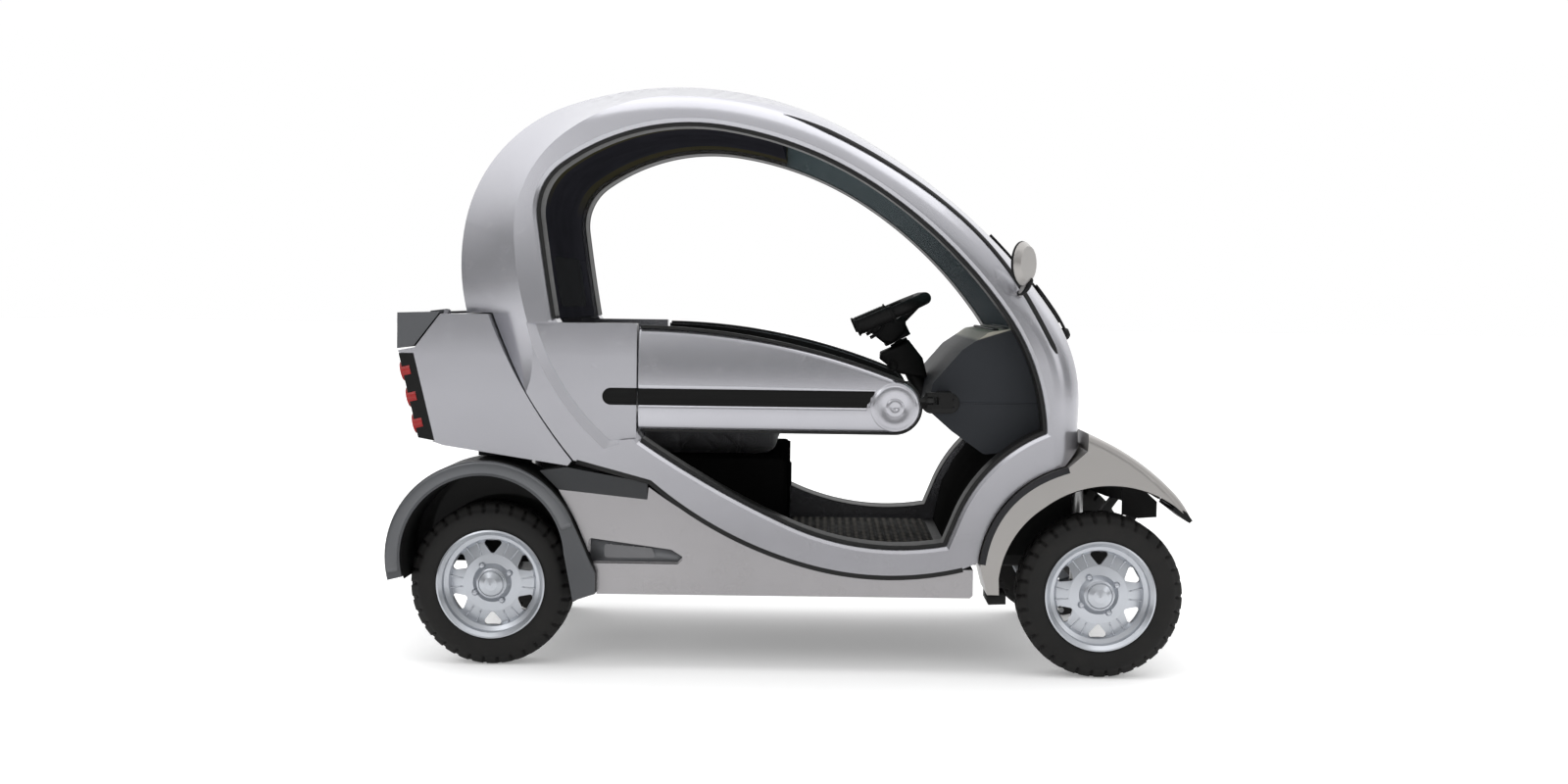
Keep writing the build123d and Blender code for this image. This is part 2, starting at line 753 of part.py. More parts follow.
# Sills with the side lamp's wedge recess
with BuildPart() as sills:
    with BuildSketch(side(-sill_in)):
        with BuildLine():
            Polyline((sill_rear_x, 236), (sill_rear_x, 300), (-640, 452), sill_top_rear, sill_top_front,
                     (-420, 560))
            low_mid = Vector(*ring_low_mid) + Vector(0, -panel_gap)
            low_front = Vector(*ring_low_front) + Vector(0, -panel_gap)
            ThreePointArc((-420, 560), (-206, 430), low_mid)
            ThreePointArc(low_mid, (306, 294), low_front)
            Polyline(low_front, (565, 322), (565, 244), (556, 236), (sill_rear_x, 232), (sill_rear_x, 236))
        make_face()
    extrude(amount=sill_w)
    with BuildSketch(side(-sill_in - sill_w + recess_depth)):
        rounded(recess_points, 10)
    extrude(amount=recess_depth + 5, mode=Mode.SUBTRACT)
    mirror(about=Plane.XZ)
keep(sills, "sills")
with BuildPart() as side_lamps:
    with BuildSketch(side(-sill_in - sill_w + recess_depth - seat_gap)):
        rounded([(-554, 344), (-554, 385), (-410, 374), (-396, 344)], 8)
    extrude(amount=recess_depth - 6)
    mirror(about=Plane.XZ)
keep(side_lamps, "side_lamps")

# Rear body: quarters, tail and boot, open on top, with the boot's front wall
with BuildPart() as rear_body:
    with BuildSketch(side(rear_y)):
        with BuildLine():
            Polyline((lid_front_x, deck_z), (deck_front[0] - panel_gap, deck_z))
            quarter_mid = Vector(*gap_mid) + Vector(-panel_gap, -2)
            quarter_foot = Vector(*gap_foot) + Vector(-panel_gap - 2, -2)
            ThreePointArc((deck_front[0] - panel_gap, deck_z), quarter_mid, quarter_foot)
            Polyline(quarter_foot, (-667, 622), (-1046, 679), (-1126, 705), (-1184, 966),
                     (-1133, 976), (lid_front_x, deck_z))
        make_face()
    extrude(amount=2 * rear_y)
    plate([(-960, 560), (-960, 760), (-1012, 1100), (-600, 1100), (-600, 560)],
          -ring_in, ring_in, mode=Mode.SUBTRACT)
    plate([(-960 - boot_wall, 705), (-1012 - boot_wall, 1050), (-1012 - boot_wall, 1100),
           (-1150, 1100), (-1163, 950), (-1112, 722), (-1046, 695)],
          -boot_y, boot_y, mode=Mode.SUBTRACT)
    tail_cut = [(tail_points[0][0] - 20, tail_points[0][1]), tail_points[1], tail_points[2],
                (tail_points[3][0] - 20, tail_points[3][1] - 10)]
    for y in (-rear_y - 1, tail_in):
        plate(tail_cut, y, y + rear_y + 1 - tail_in, mode=Mode.SUBTRACT)
    lug_out = lid_eye_w / 2 + pin_gap + lid_lug_w
    for y in (-lid_lug_y, lid_lug_y):
        for inward in (-1, 1):
            with Locations((lid_pin_x, y + inward * (lug_out - lid_lug_w / 2), deck_z + 3)):
                Box(2 * lid_eye_r, lid_lug_w, 16)
        rod((lid_pin_x, y - lug_out, lid_pin_z), (lid_pin_x, y + lug_out, lid_pin_z), lid_pin_r)
keep(rear_body, "rear_body")
with BuildPart() as rear_shelf:
    plate([(-960 + seat_gap, shelf_z), (-960 + seat_gap, shelf_z + shelf_t), (-604, shelf_z + shelf_t),
           (-604, shelf_z)], -ring_in + seat_gap, ring_in - seat_gap)
keep(rear_shelf, "rear_shelf")

# Boot lid: dark cap with wedge-shaped ends
lid_points = [(lid_front_x - 2, deck_z + lid_gap), (lid_rear_x, deck_z + 2), (lid_rear_x - 1, 971),
              (-1136, 981)]
with BuildPart() as boot_lid:
    plate(lid_points, -rear_y, rear_y)
    for y in (-lid_lug_y, lid_lug_y):
        ends = (y - lid_eye_w / 2, y + lid_eye_w / 2)
        plate([(lid_pin_x, lid_pin_z), (lid_pin_x, lid_pin_z + lid_eye_r), (lid_rear_x + 90, deck_z + 8),
               (lid_rear_x + 90, deck_z), (lid_front_x - 10, deck_z)], *ends)
        rod((lid_pin_x, ends[0], lid_pin_z), (lid_pin_x, ends[1], lid_pin_z), lid_eye_r)
        rod((lid_pin_x, ends[0] - 1, lid_pin_z), (lid_pin_x, ends[1] + 1, lid_pin_z),
            lid_pin_r + pin_gap, mode=Mode.SUBTRACT)
    plate([(-1082, 1062), (-1170, 1062), (-1171, 960), (-1146, 960), (-1128, 1000)],
          -rear_y + boot_wall, rear_y - boot_wall, mode=Mode.SUBTRACT)
keep(boot_lid, "boot_lid")

# Tail lamps: slanted black housings with three round lenses each
tail_top = Vector(*tail_points[0])
tail_run = Vector(*tail_points[3]) - tail_top
tail_out = Vector(tail_run.Y, 0, -tail_run.X).normalized()


def lens_seat(z, radius, mode=Mode.ADD):
    """Round lens across the lamp's rear face, from inside the housing to a little proud."""
    along = (z - tail_top.Y) / tail_run.Y
    centre = Vector(tail_top.X + along * tail_run.X, -rear_y + lens_r, z)
    rod(centre - tail_out * lens_deep, centre + tail_out * lens_proud, radius, mode=mode)


with BuildPart() as tail_lamps:
    inner = [(tail_points[0][0] + 1, tail_points[0][1] - 1), (tail_points[1][0] - 1, tail_points[1][1] - 1),
             (tail_points[2][0] - 1, tail_points[2][1] + 2), (tail_points[3][0] + 1, tail_points[3][1] + 1)]
    plate(inner, -rear_y + 3, -tail_in - seat_gap)
    for z in lens_rows:
        lens_seat(z, lens_r + seat_gap, Mode.SUBTRACT)
    mirror(about=Plane.XZ)
keep(tail_lamps, "tail_lamps")
with BuildPart() as tail_lenses:
    for z in lens_rows:
        lens_seat(z, lens_r)
    mirror(about=Plane.XZ)
keep(tail_lenses, "tail_lenses")

# Rear fenders: dark guards over the wheels with a tail along the sill
with BuildPart() as rear_fenders:
    with BuildSketch(side(-fender_y + fender_w)):
        with BuildLine():
            guard_out = arch_point(arch_out, arch_low)
            guard_in = arch_point(arch_in, arch_low)
            crest = arch_point(arch_out, arch_high)
            fender_front = sill_rear_x - seat_gap
            ThreePointArc(guard_out, (arch_x, arch_z + arch_out), crest)
            Polyline(crest, (fender_front, 300), (fender_front, 238), (-644, 216), (-672, 360))
            ThreePointArc((-672, 360), (arch_x, arch_z + arch_in), guard_in)
            Line(guard_in, guard_out)
        make_face()
    extrude(amount=fender_w)
    with BuildSketch(side(-fender_y + fender_w + housing_t)):
        with Locations((arch_x, arch_z)):
            Circle(arch_in + housing_t)
        with Locations((arch_x, housing_low - arch_in)):
            Rectangle(4 * arch_in, 2 * arch_in, mode=Mode.SUBTRACT)
        with Locations((rear_axle_x, axle_z)):
            Circle(axle_hole, mode=Mode.SUBTRACT)
    extrude(amount=housing_t)
    mirror(about=Plane.XZ)
keep(rear_fenders, "rear_fenders")
with BuildPart() as quarter_strips:
    strip_low = [(x, z + seat_gap) for x, z in (sill_top_front, sill_top_rear)]
    plate([(-752, 606), (-670, 617), (sill_top_front[0], 574), *strip_low], -rear_y, -rear_y + 90)
    mirror(about=Plane.XZ)
keep(quarter_strips, "quarter_strips")

# Chassis: two rails joined by cross members
with BuildPart() as chassis:
    for y in (-rail_y, rail_y):
        with BuildSketch(Plane.YZ.offset(rail_rear)):
            with Locations((y, rail_z)):
                RectangleRounded(rail_w, rail_h, 6)
        extrude(amount=rail_front - rail_rear)
    for x in cross_x:
        with BuildSketch(side(rail_y + 10)):
            with Locations((x, rail_z)):
                Rectangle(cross_w, cross_h)
        extrude(amount=2 * rail_y + 20)
    foot_rear, foot_front = bumper_points[2:4]
    foot_slope = (foot_front[1] - foot_rear[1]) / (foot_front[0] - foot_rear[0])
    bracket_top = [(x, foot_rear[1] + foot_slope * (x - foot_rear[0]) - seat_gap)
                   for x in (rail_front + bracket_reach, rail_front + bracket_reach - bracket_w)]
    for y in (-rail_y, rail_y):
        plate([(rail_front - bracket_w, rail_z), (rail_front, rail_z - rail_h / 4), *bracket_top],
              y - rail_w / 2, y + rail_w / 2)
keep(chassis, "chassis")
with BuildPart() as battery_box:
    with Locations((-310, 0, 268)):
        Box(480, 2 * rail_y - rail_w - 2 * seat_gap, 112)
keep(battery_box, "battery_box")

# Axles: beam with kingpin yokes in front, tube with the drive unit behind
with BuildPart() as front_axle:
    with Locations((front_axle_x, 0, axle_z)):
        Box(44, 2 * (kingpin_y - 36), 36)
    for y in (-kingpin_y, kingpin_y):
        inward = 1 if y < 0 else -1
        with Locations((front_axle_x, y + inward * 33, axle_z)):
            Box(40, 14, 2 * yoke_h)
        for z in (-yoke_h + 7, yoke_h - 7):
            with Locations((front_axle_x, y + inward * 10, axle_z + z)):
                Box(40, 54, 14)
        with Locations((front_axle_x, y, axle_z)):
            Cylinder(kingpin_r, 2 * yoke_h)
        with Locations((perch_x + 12, -inward * perch_y, axle_z)):
            Box(60, 40, 36)
keep(front_axle, "front_axle")

for name, s in (("right", -1), ("left", 1)):
    with BuildPart() as knuckle:
        hub = Vector(front_axle_x, s * kingpin_y, axle_z)
        with Locations(hub):
            Cylinder(22, 2 * (yoke_h - 14 - 2))
        rod(hub, hub + Vector(0, s * (front_wheel_y - kingpin_y + stub_out), 0), stub_r)
        with BuildSketch(side(s * (kingpin_y + 20))):
            with Locations((front_axle_x, axle_z)):
                Circle(56)
        extrude(amount=-s * 8)
        with Locations((front_axle_x - steer_arm / 2, s * (kingpin_y + 4), arm_z)):
            Box(steer_arm, 16, 12)
        with Locations((front_axle_x - steer_arm, s * (kingpin_y + 4), arm_z)):
            Cylinder(14, 12)
        with Locations(hub):
            Cylinder(kingpin_r + pin_gap, 200, mode=Mode.SUBTRACT)
    keep(knuckle, f"knuckle_{name}")

with BuildPart() as track_rod:
    rod_z = arm_z - 6 - run_gap - 8
    rod((front_axle_x - steer_arm, -kingpin_y - 4, rod_z), (front_axle_x - steer_arm, kingpin_y + 4, rod_z), 8)
keep(track_rod, "track_rod")
with BuildPart() as steering_rack:
    rod((front_axle_x - steer_arm, -150, rod_z), (front_axle_x - steer_arm, 150, rod_z), 20)
    cross_low = rail_z - cross_h / 2 - seat_gap
    for y in (-120, 120):
        with Locations((front_axle_x - steer_arm, y, (rod_z + cross_low) / 2)):
            Box(24, 20, cross_low - rod_z)
    rod((front_axle_x - steer_arm, -160, rod_z), (front_axle_x - steer_arm, 160, rod_z), 8 + pin_gap,
        mode=Mode.SUBTRACT)
keep(steering_rack, "steering_rack")

with BuildPart() as rear_axle:
    rod((rear_axle_x, -rear_wheel_y + 40, axle_z), (rear_axle_x, rear_wheel_y - 40, axle_z), axle_r)
    rod((rear_axle_x, -rear_wheel_y - stub_out, axle_z), (rear_axle_x, rear_wheel_y + stub_out, axle_z), stub_r)
keep(rear_axle, "rear_axle")
with BuildPart() as drive_unit:
    with Locations((rear_axle_x, 0, axle_z - 2)):
        Box(150, 190, 130)
    with Locations((rear_axle_x + 110, 0, axle_z - 2)):
        Cylinder(58, 220, rotation=(90, 0, 0))
    rod((rear_axle_x, -120, axle_z), (rear_axle_x, 120, axle_z), axle_r, mode=Mode.SUBTRACT)
keep(drive_unit, "drive_unit")
with BuildPart() as shock_absorbers:
    rod((perch_x, -perch_y, axle_z + 18 + seat_gap), (perch_x, -perch_y, shock_top_z), shock_r)
    with Locations((perch_x, -(bulkhead_y + seat_gap + perch_y) / 2, shock_top_z - 20)):
        Box(30, perch_y - bulkhead_y - seat_gap, 40)
    rod((rear_axle_x, -330, axle_z + axle_r + seat_gap), (rear_axle_x, -330, shelf_z - seat_gap), shock_r)
    mirror(about=Plane.XZ)
keep(shock_absorbers, "shock_absorbers")

# Rounded triangle that repeats around the rim
with BuildSketch() as rim_window:
    rounded([(window_in - 6, 0), (window_out, window_half), (window_out, -window_half)], 9)

# Wheels: tyre and pressed rim, revolved about the axle and set at each corner
wheels = [("front_right", front_axle_x, -1, front_wheel_y), ("front_left", front_axle_x, 1, front_wheel_y),
          ("rear_right", rear_axle_x, -1, rear_wheel_y), ("rear_left", rear_axle_x, 1, rear_wheel_y)]
for name, x, s, y in wheels:
    centre = Plane((x, s * y, axle_z), x_dir=(1, 0, 0), z_dir=(0, s, 0))
    half = tyre_w / 2
    with BuildPart() as tyre:
        with BuildSketch(Plane(centre.origin, x_dir=(1, 0, 0), z_dir=(0, 0, s))):
            with BuildLine():
                Polyline((bead_r, -half + 22), (rim_r + 4, -half + 8))
                ThreePointArc((rim_r + 4, -half + 8), (side_r, -half), (tyre_r - 20, -half + 10))
                ThreePointArc((tyre_r - 20, -half + 10), (tyre_r - 5, -half + 18), (tyre_r, -half + 34))
                Line((tyre_r, -half + 34), (tyre_r, half - 34))
                ThreePointArc((tyre_r, half - 34), (tyre_r - 5, half - 18), (tyre_r - 20, half - 10))
                ThreePointArc((tyre_r - 20, half - 10), (side_r, half), (rim_r + 4, half - 8))
                Polyline((rim_r + 4, half - 8), (bead_r, half - 22), (bead_r, -half + 22))
            make_face()
        revolve(axis=Axis(centre.origin, (0, 1, 0)))
    keep(tyre, f"tyre_{name}")
    with BuildPart() as rim:
        with BuildSketch(Plane(centre.origin, x_dir=(1, 0, 0), z_dir=(0, 0, s))):
            with BuildLine():
                Polyline((bead_r - 0.3, -half + 21), (bead_r - 0.3, half - 21), (rim_r, half - 12),
                         (rim_r + 1, half - 6), (rim_r - 4, half - 4), (rim_r - 15, half - 14), (well_r, half - 30),
                         (well_r, -half + 14), (rim_r - 4, -half + 4), (rim_r + 1, -half + 6),
                         (rim_r, -half + 12), close=True)
            make_face()
            with BuildLine():
                Polyline((well_r + 1, 24), (well_r + 1, 36), (disc_out, 30), (disc_out - 8, 20), (disc_in, 30),
                         (hub_out, 32), (46, 46),
                         (cap_r, 50), (cap_r, 57), (20, 63), (0, 65), (0, stub_out + 2),
                         (stub_r + pin_gap, stub_out + 2), (stub_r + pin_gap, 12), (44, 12), (hub_out, 22),
                         (disc_in, 20), (disc_out - 8, 10), (disc_out, 20), close=True)
            make_face()
        revolve(axis=Axis(centre.origin, (0, 1, 0)))
        with BuildSketch(centre):
            with PolarLocations(0, window_count, start_angle=90):
                add(rim_window.sketch)
        extrude(amount=60, mode=Mode.SUBTRACT)
    keep(rim, f"rim_{name}")
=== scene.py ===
"""Looks of the small cabin electric car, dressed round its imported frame.

Metres. +X forward, +Y to the driver's left, +Z up. Every new piece is a surface worked out on a
grid of points: a profile carried along a path, or a height over a sheet.
"""
from math import atan2, cos, pi, radians, sin

import bmesh
import bpy
import numpy as np
from mathutils import Matrix


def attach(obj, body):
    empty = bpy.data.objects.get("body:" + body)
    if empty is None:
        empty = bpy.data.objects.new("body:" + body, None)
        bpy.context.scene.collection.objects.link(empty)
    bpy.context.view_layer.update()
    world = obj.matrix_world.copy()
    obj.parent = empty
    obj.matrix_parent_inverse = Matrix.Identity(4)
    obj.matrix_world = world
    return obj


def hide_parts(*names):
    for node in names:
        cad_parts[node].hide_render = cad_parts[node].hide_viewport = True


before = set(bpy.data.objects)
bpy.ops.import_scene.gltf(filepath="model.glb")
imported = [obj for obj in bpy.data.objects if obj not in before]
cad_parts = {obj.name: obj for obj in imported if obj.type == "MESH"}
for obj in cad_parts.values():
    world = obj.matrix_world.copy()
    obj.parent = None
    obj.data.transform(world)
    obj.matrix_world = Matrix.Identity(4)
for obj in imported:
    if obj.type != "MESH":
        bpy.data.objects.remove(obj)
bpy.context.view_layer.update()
scene = bpy.context.scene
mm = 0.001


# Shader writing

class Value:
    """One number in a shader. Its operators add the Math nodes that work it out."""

    def __init__(self, finish, socket):
        self.finish = finish
        self.socket = socket

    def math(self, operation, *others, clamp=False):
        return self.finish.node("Math", {"operation": operation, "use_clamp": clamp},
                                dict(enumerate((self, *others))))

    def __add__(self, other):
        return self.math("ADD", other)

    def __sub__(self, other):
        return self.math("SUBTRACT", other)

    def __rsub__(self, other):
        return (self * -1) + other

    def __mul__(self, other):
        return self.math("MULTIPLY", other)

    def __truediv__(self, other):
        return self.math("DIVIDE", other)

    __radd__ = __add__

    def clamped(self):
        return self.math("ADD", 0.0, clamp=True)

    def above(self, edge, soft):
        """0 below the edge, 1 above it, rising over the soft width."""
        return ((self - edge) / soft + 0.5).clamped()

    def apart(self, middle, half, soft):
        """0 within a half width of the middle, 1 outside it."""
        return (self - middle).math("ABSOLUTE").above(half, soft)


class Finish:
    """A material with a Principled surface. Fixed sockets are set once, by name."""

    def __init__(self, name, **fixed):
        self.material = bpy.data.materials.new(name)
        self.material.use_nodes = True
        self.tree = self.material.node_tree
        self.surface = self.tree.nodes["Principled BSDF"]
        for socket, value in fixed.items():
            self.surface.inputs[socket.replace("_", " ")].default_value = value

    def feed(self, socket, value):
        if isinstance(value, Value):
            self.tree.links.new(value.socket, socket)
        else:
            socket.default_value = value

    def node(self, kind, settings=None, inputs=None, output=0):
        made = self.tree.nodes.new("ShaderNode" + kind)
        for key, value in (settings or {}).items():
            setattr(made, key, value)
        for socket, value in (inputs or {}).items():
            self.feed(made.inputs[socket], value)
        return Value(self, made.outputs[output])

    def place(self, axis=None):
        """Object coordinates in metres, whole or along one axis."""
        point = self.node("TexCoord", output="Object")
        if axis is None:
            return point
        return self.node("SeparateXYZ", inputs={0: point}, output=axis)

    def noise(self, scale, detail=3.0, stretch=(1, 1, 1)):
        point = self.node("Mapping", inputs={"Vector": self.place(), "Scale": stretch})
        return self.node("TexNoise", inputs={"Vector": point, "Scale": scale, "Detail": detail})

    def pebbles(self, scale):
        return self.node("TexVoronoi", inputs={"Vector": self.place(), "Scale": scale})

    def wave(self, axis, scale, wobble=0.0):
        return self.node("TexWave", {"bands_direction": axis},
                         {"Vector": self.place(), "Scale": scale, "Distortion": wobble})

    def mix(self, share, low, high):
        """Colour between two others, by a share from 0 to 1."""
        return self.node("Mix", {"data_type": "RGBA"}, {0: share, 6: low, 7: high}, output=2)

    def colour(self, value):
        self.feed(self.surface.inputs["Base Color"], value)
        return self

    def rough(self, value):
        self.feed(self.surface.inputs["Roughness"], value)
        return self

    def relief(self, height, depth):
        """Bump of that depth in metres."""
        bump = self.node("Bump", inputs={"Height": height, "Distance": depth, "Strength": 1.0})
        self.feed(self.surface.inputs["Normal"], bump)
        return self


def grey(level, blue=0.0):
    return (level, level, level * (1 + blue), 1)


belt_height = 0.95
road_dust = (0.33, 0.30, 0.26, 1)
# Near-black that the paint is mixed towards for the painted shade at the panels' foot.
painted_shade_colour = (0.02, 0.018, 0.02, 1)


def lacquer(name, low, high, metallic, rough, coat=0.35, crown=0.0, shade=0.0):
    """Metallic paint: cloudy tone, fine flake, faint orange peel, and road dust near the ground.
    The crown leans the panels back, its height falling by the square above the belt. The shade is
    painted shade: the share by which the tone is darkened towards near-black at the panels' foot."""
    made = Finish(name, Metallic=metallic, Coat_Weight=coat, Coat_Roughness=0.12)
    cloud = made.noise(3.0, 2.0)
    flake = made.noise(1400.0, 1.0)
    tone = (cloud * 0.7 + flake * 0.3).clamped()
    dust = (1 - made.place(2).above(0.42, 0.5)) * made.noise(9.0, 5.0).above(0.52, 0.35) * 0.05
    # Painted shade: the tone darkens towards near-black at the panels' foot, by the share given as
    # shade.
    foot = (1 - made.place(2).above(0.62, 0.42)) * shade
    paint = made.mix(foot, made.mix(tone, low, high), painted_shade_colour)
    made.colour(made.mix(dust, paint, road_dust))
    made.rough(rough + flake * 0.06 + dust * 0.4 + made.noise(18.0, 4.0) * 0.05)
    above = (made.place(2) - belt_height).math("MAXIMUM", 0.0)
    peel = (made.noise(420.0, 1.0) + flake * 0.3) * 0.00002
    return made.relief(peel - above * above * (crown / 2), 1.0).material


def moulding(name, low, high, rough, grain=900.0, depth=0.00012, shine=0.18):
    """Grained plastic: a pebbled surface, slight fading in clouds, scuffs that shine."""
    made = Finish(name, Specular_IOR_Level=shine)
    cloud = made.noise(5.0, 4.0)
    scuff = made.noise(26.0, 6.0, stretch=(1, 1, 5)).above(0.66, 0.12)
    made.colour(made.mix((cloud * 0.8 + scuff * 0.25).clamped(), low, high))
    made.rough(rough - scuff * 0.1 + cloud * 0.12)
    return made.relief(made.pebbles(grain), depth).material


def metal(name, low, high, rough, stretch=(1, 1, 1)):
    """Machined or cast metal: brushed or cloudy streaks, with stains."""
    made = Finish(name, Metallic=1.0)
    streak = made.noise(120.0, 4.0, stretch=stretch)
    stain = made.noise(7.0, 5.0).above(0.58, 0.2)
    made.colour(made.mix((streak * 0.6 + stain * 0.3).clamped(), high, low))
    made.rough(rough + streak * 0.12 + stain * 0.12)
    return made.relief(streak, 0.0001).material


def glazing(name, tint, rough=0.02, dust=0.25, ior=1.45):
    """Clear pane with a thin haze of dust."""
    made = Finish(name, Transmission_Weight=1.0, IOR=ior)
    haze = made.noise(6.0, 5.0).above(0.55, 0.4)
    made.colour(made.mix(haze * dust, tint, (0.93, 0.93, 0.91, 1)))
    return made.rough(rough + haze * 0.03).material


def shaded_pane():
    """Dark rear pane, nearly opaque, with a faint cloudiness."""
    made = Finish("shaded_pane", Specular_IOR_Level=0.0, Coat_Weight=0.02)
    haze = made.noise(6.0, 5.0)
    made.colour(made.mix(haze, (0.006, 0.007, 0.009, 1), (0.014, 0.016, 0.019, 1)))
    made.feed(made.surface.inputs["Alpha"], 0.86 + haze * 0.06)
    return made.rough(0.1 + haze * 0.1).material


def lens(name, low, high, ribs):
    """Coloured lamp lens with fine ribs inside."""
    made = Finish(name, Coat_Weight=0.25, Coat_Roughness=0.06, Specular_IOR_Level=0.3)
    wave = made.wave("Z", ribs)
    made.colour(made.mix(wave * 0.7, low, high)).rough(0.18 + wave * 0.1)
    return made.relief(wave, 0.0006).material


silver = lacquer("silver_lacquer", (0.375, 0.375, 0.405, 1), (0.475, 0.475, 0.505, 1), 0.80, 0.2,
                 coat=0.2, crown=0.42, shade=0.42)
# Darker copy of the silver lacquer for the sills: painted shade on the lowest panels.
shaded_sill_silver = lacquer("shaded_sill_lacquer", (0.25, 0.243, 0.250, 1), (0.33, 0.322, 0.330, 1), 0.80, 0.2,
                      0.15)
gunmetal = lacquer("gunmetal_lacquer", (0.075, 0.078, 0.084, 1), (0.14, 0.144, 0.152, 1), 0.7,
                   0.34, 0.15)
fender_grey = lacquer("fender_lacquer", (0.28, 0.27, 0.26, 1), (0.36, 0.346, 0.335, 1), 0.7, 0.3,
                      0.2)
strip_paint = lacquer("strip_lacquer", (0.020, 0.021, 0.023, 1), (0.038, 0.040, 0.043, 1), 0.6,
                      0.36, 0.1)
wheel_silver = lacquer("wheel_lacquer", (0.36, 0.38, 0.41, 1), (0.54, 0.56, 0.60, 1), 0.85, 0.24)
black_moulding = moulding("black_moulding", grey(0.003), grey(0.010), 0.5)
charcoal_moulding = moulding("charcoal_moulding", grey(0.014, 0.12), grey(0.028, 0.12), 0.5)
# Darker, shineless copy of the black moulding for the seat base: painted shade where the seat base
# sits unlit.
shaded_well_moulding = moulding("shaded_well_moulding", grey(0.0015), grey(0.005), 0.7, shine=0.0)
shield_moulding = moulding("shield_moulding", grey(0.009), grey(0.017), 0.7, shine=0.0)
seal_rubber = moulding("seal_rubber", grey(0.008), grey(0.022), 0.42, 1800.0, 0.00004)
chassis_paint = moulding("chassis_paint", grey(0.012), grey(0.035), 0.45, 300.0, 0.0002)
bare_steel = metal("bare_steel", grey(0.22), grey(0.55), 0.3, stretch=(1, 8, 1))
cast_aluminium = metal("cast_aluminium", grey(0.32), grey(0.6), 0.5)
chrome = metal("bright_plating", grey(0.55), grey(0.82), 0.06)
# The windscreen's dark green tint is painted shade: it darkens the clear glass as the unlit cabin
# behind it does.
shade_tinted_screen_glass = glazing("shade_tinted_screen_glass", (0.065, 0.10, 0.10, 1), 0.02, 0.015, 1.08)
smoked_glass = shaded_pane()
lamp_glass = glazing("lamp_glass", (0.95, 0.97, 0.98, 1), 0.05)
red_lens = lens("red_lens", (0.20, 0.003, 0.003, 1), (0.45, 0.01, 0.008, 1), 90.0)
grey_lens = lens("grey_lens", (0.10, 0.10, 0.105, 1), (0.20, 0.20, 0.21, 1), 120.0)


def guard_finish():
    """Rear guards: gunmetal outside, black housing within, parted by the place across the car."""
    face = 0.588
    made = Finish("guard_paint", Metallic=0.5, Coat_Weight=0.1, Specular_IOR_Level=0.3)
    outside = made.place(1).apart(0.0, face, 0.004)
    cloud = made.noise(3.0, 2.0)
    paint = made.mix(cloud, (0.05, 0.052, 0.056, 1), (0.095, 0.098, 0.104, 1))
    made.colour(made.mix(outside, grey(0.006), paint)).rough(0.62 - outside * 0.26 + cloud * 0.06)
    return made.relief(made.noise(420.0, 1.0), 0.00006).material


def stripe_finish():
    """Dark satin insert with long faint drawing lines."""
    made = Finish("stripe_insert", Specular_IOR_Level=0.12)
    lines = made.noise(220.0, 2.0, stretch=(0.02, 1, 1))
    made.colour(made.mix(lines, grey(0.002), grey(0.008))).rough(0.3 + lines * 0.15)
    return made.relief(lines, 0.00004).material


def dash_finish():
    """Charcoal dash with a pale beige top over a sloping line, a painted reflection of the light on
    the dash's top, and the seam across its side.
    """
    top_slope, top_height, seam_height = 0.32, 0.832, 0.822
    made = Finish("dash_moulding", Specular_IOR_Level=0.2)
    x, z = made.place(0), made.place(2)
    # Painted reflection: the dash's top over the sloping line is painted pale beige.
    top = (z - x * top_slope).above(top_height, 0.004)
    cloud = made.noise(6.0, 4.0)
    dark = made.mix(cloud, (0.018, 0.020, 0.024, 1), (0.027, 0.030, 0.035, 1))
    pale = made.mix(cloud, (0.30, 0.29, 0.24, 1), (0.40, 0.385, 0.33, 1))
    made.colour(made.mix(top, dark, pale)).rough(0.5 + cloud * 0.12)
    seam = z.apart(seam_height, 0.0022, 0.0015)
    return made.relief(made.pebbles(700.0) * 0.06 + seam, 0.0016).material


def lining_finish():
    """Charcoal lining with an olive-beige stretch under the roof's edges, and two lines behind."""
    upper_line, lower_line = 1.262, 1.100
    made = Finish("cabin_lining", Specular_IOR_Level=0.0)
    z = made.place(2)
    edge = made.place(1).apart(0.0, 0.30, 0.01) * z.above(1.46, 0.1)
    cloud = made.noise(8.0, 5.0)
    dark = made.mix(cloud, grey(0.020, 0.25), grey(0.036, 0.25))
    pale = made.mix(cloud, (0.035, 0.032, 0.018, 1), (0.06, 0.055, 0.034, 1))
    made.colour(made.mix(edge, dark, pale)).rough(0.6 + cloud * 0.15)
    lines = z.apart(upper_line, 0.002, 0.0015) * z.apart(lower_line, 0.002, 0.0015)
    return made.relief(made.pebbles(500.0) * 0.08 + lines, 0.0014).material


def tyre_finish():
    """Moulded rubber, dusty in patches."""
    made = Finish("tyre_rubber", Specular_IOR_Level=0.25)
    dust = made.noise(14.0, 6.0).above(0.5, 0.4)
    fine = made.noise(600.0, 2.0)
    tone = (dust * 0.6 + fine * 0.2).clamped()
    made.colour(made.mix(tone, grey(0.005), (0.020, 0.019, 0.018, 1)))
    made.rough(0.62 + dust * 0.2)
    return made.relief(fine, 0.0002).material


def mat_finish():
    """Rubber mat, black between its lozenges, whose tops are painted pale: partly a painted
    highlight on the tops, partly dust.
    """
    crest = 0.3574
    made = Finish("floor_mat", Specular_IOR_Level=0.05)
    dust = made.noise(11.0, 6.0).above(0.48, 0.3)
    # Painted highlight on the lozenges' tops, stronger where the dust lies.
    painted_highlight_and_dust = made.place(2).above(crest, 0.0008) * (0.4 + dust * 0.6)
    made.colour(made.mix(painted_highlight_and_dust, grey(0.002), (0.13, 0.12, 0.105, 1))).rough(0.6 + dust * 0.25)
    return made.relief(made.noise(300.0, 2.0), 0.0002).material


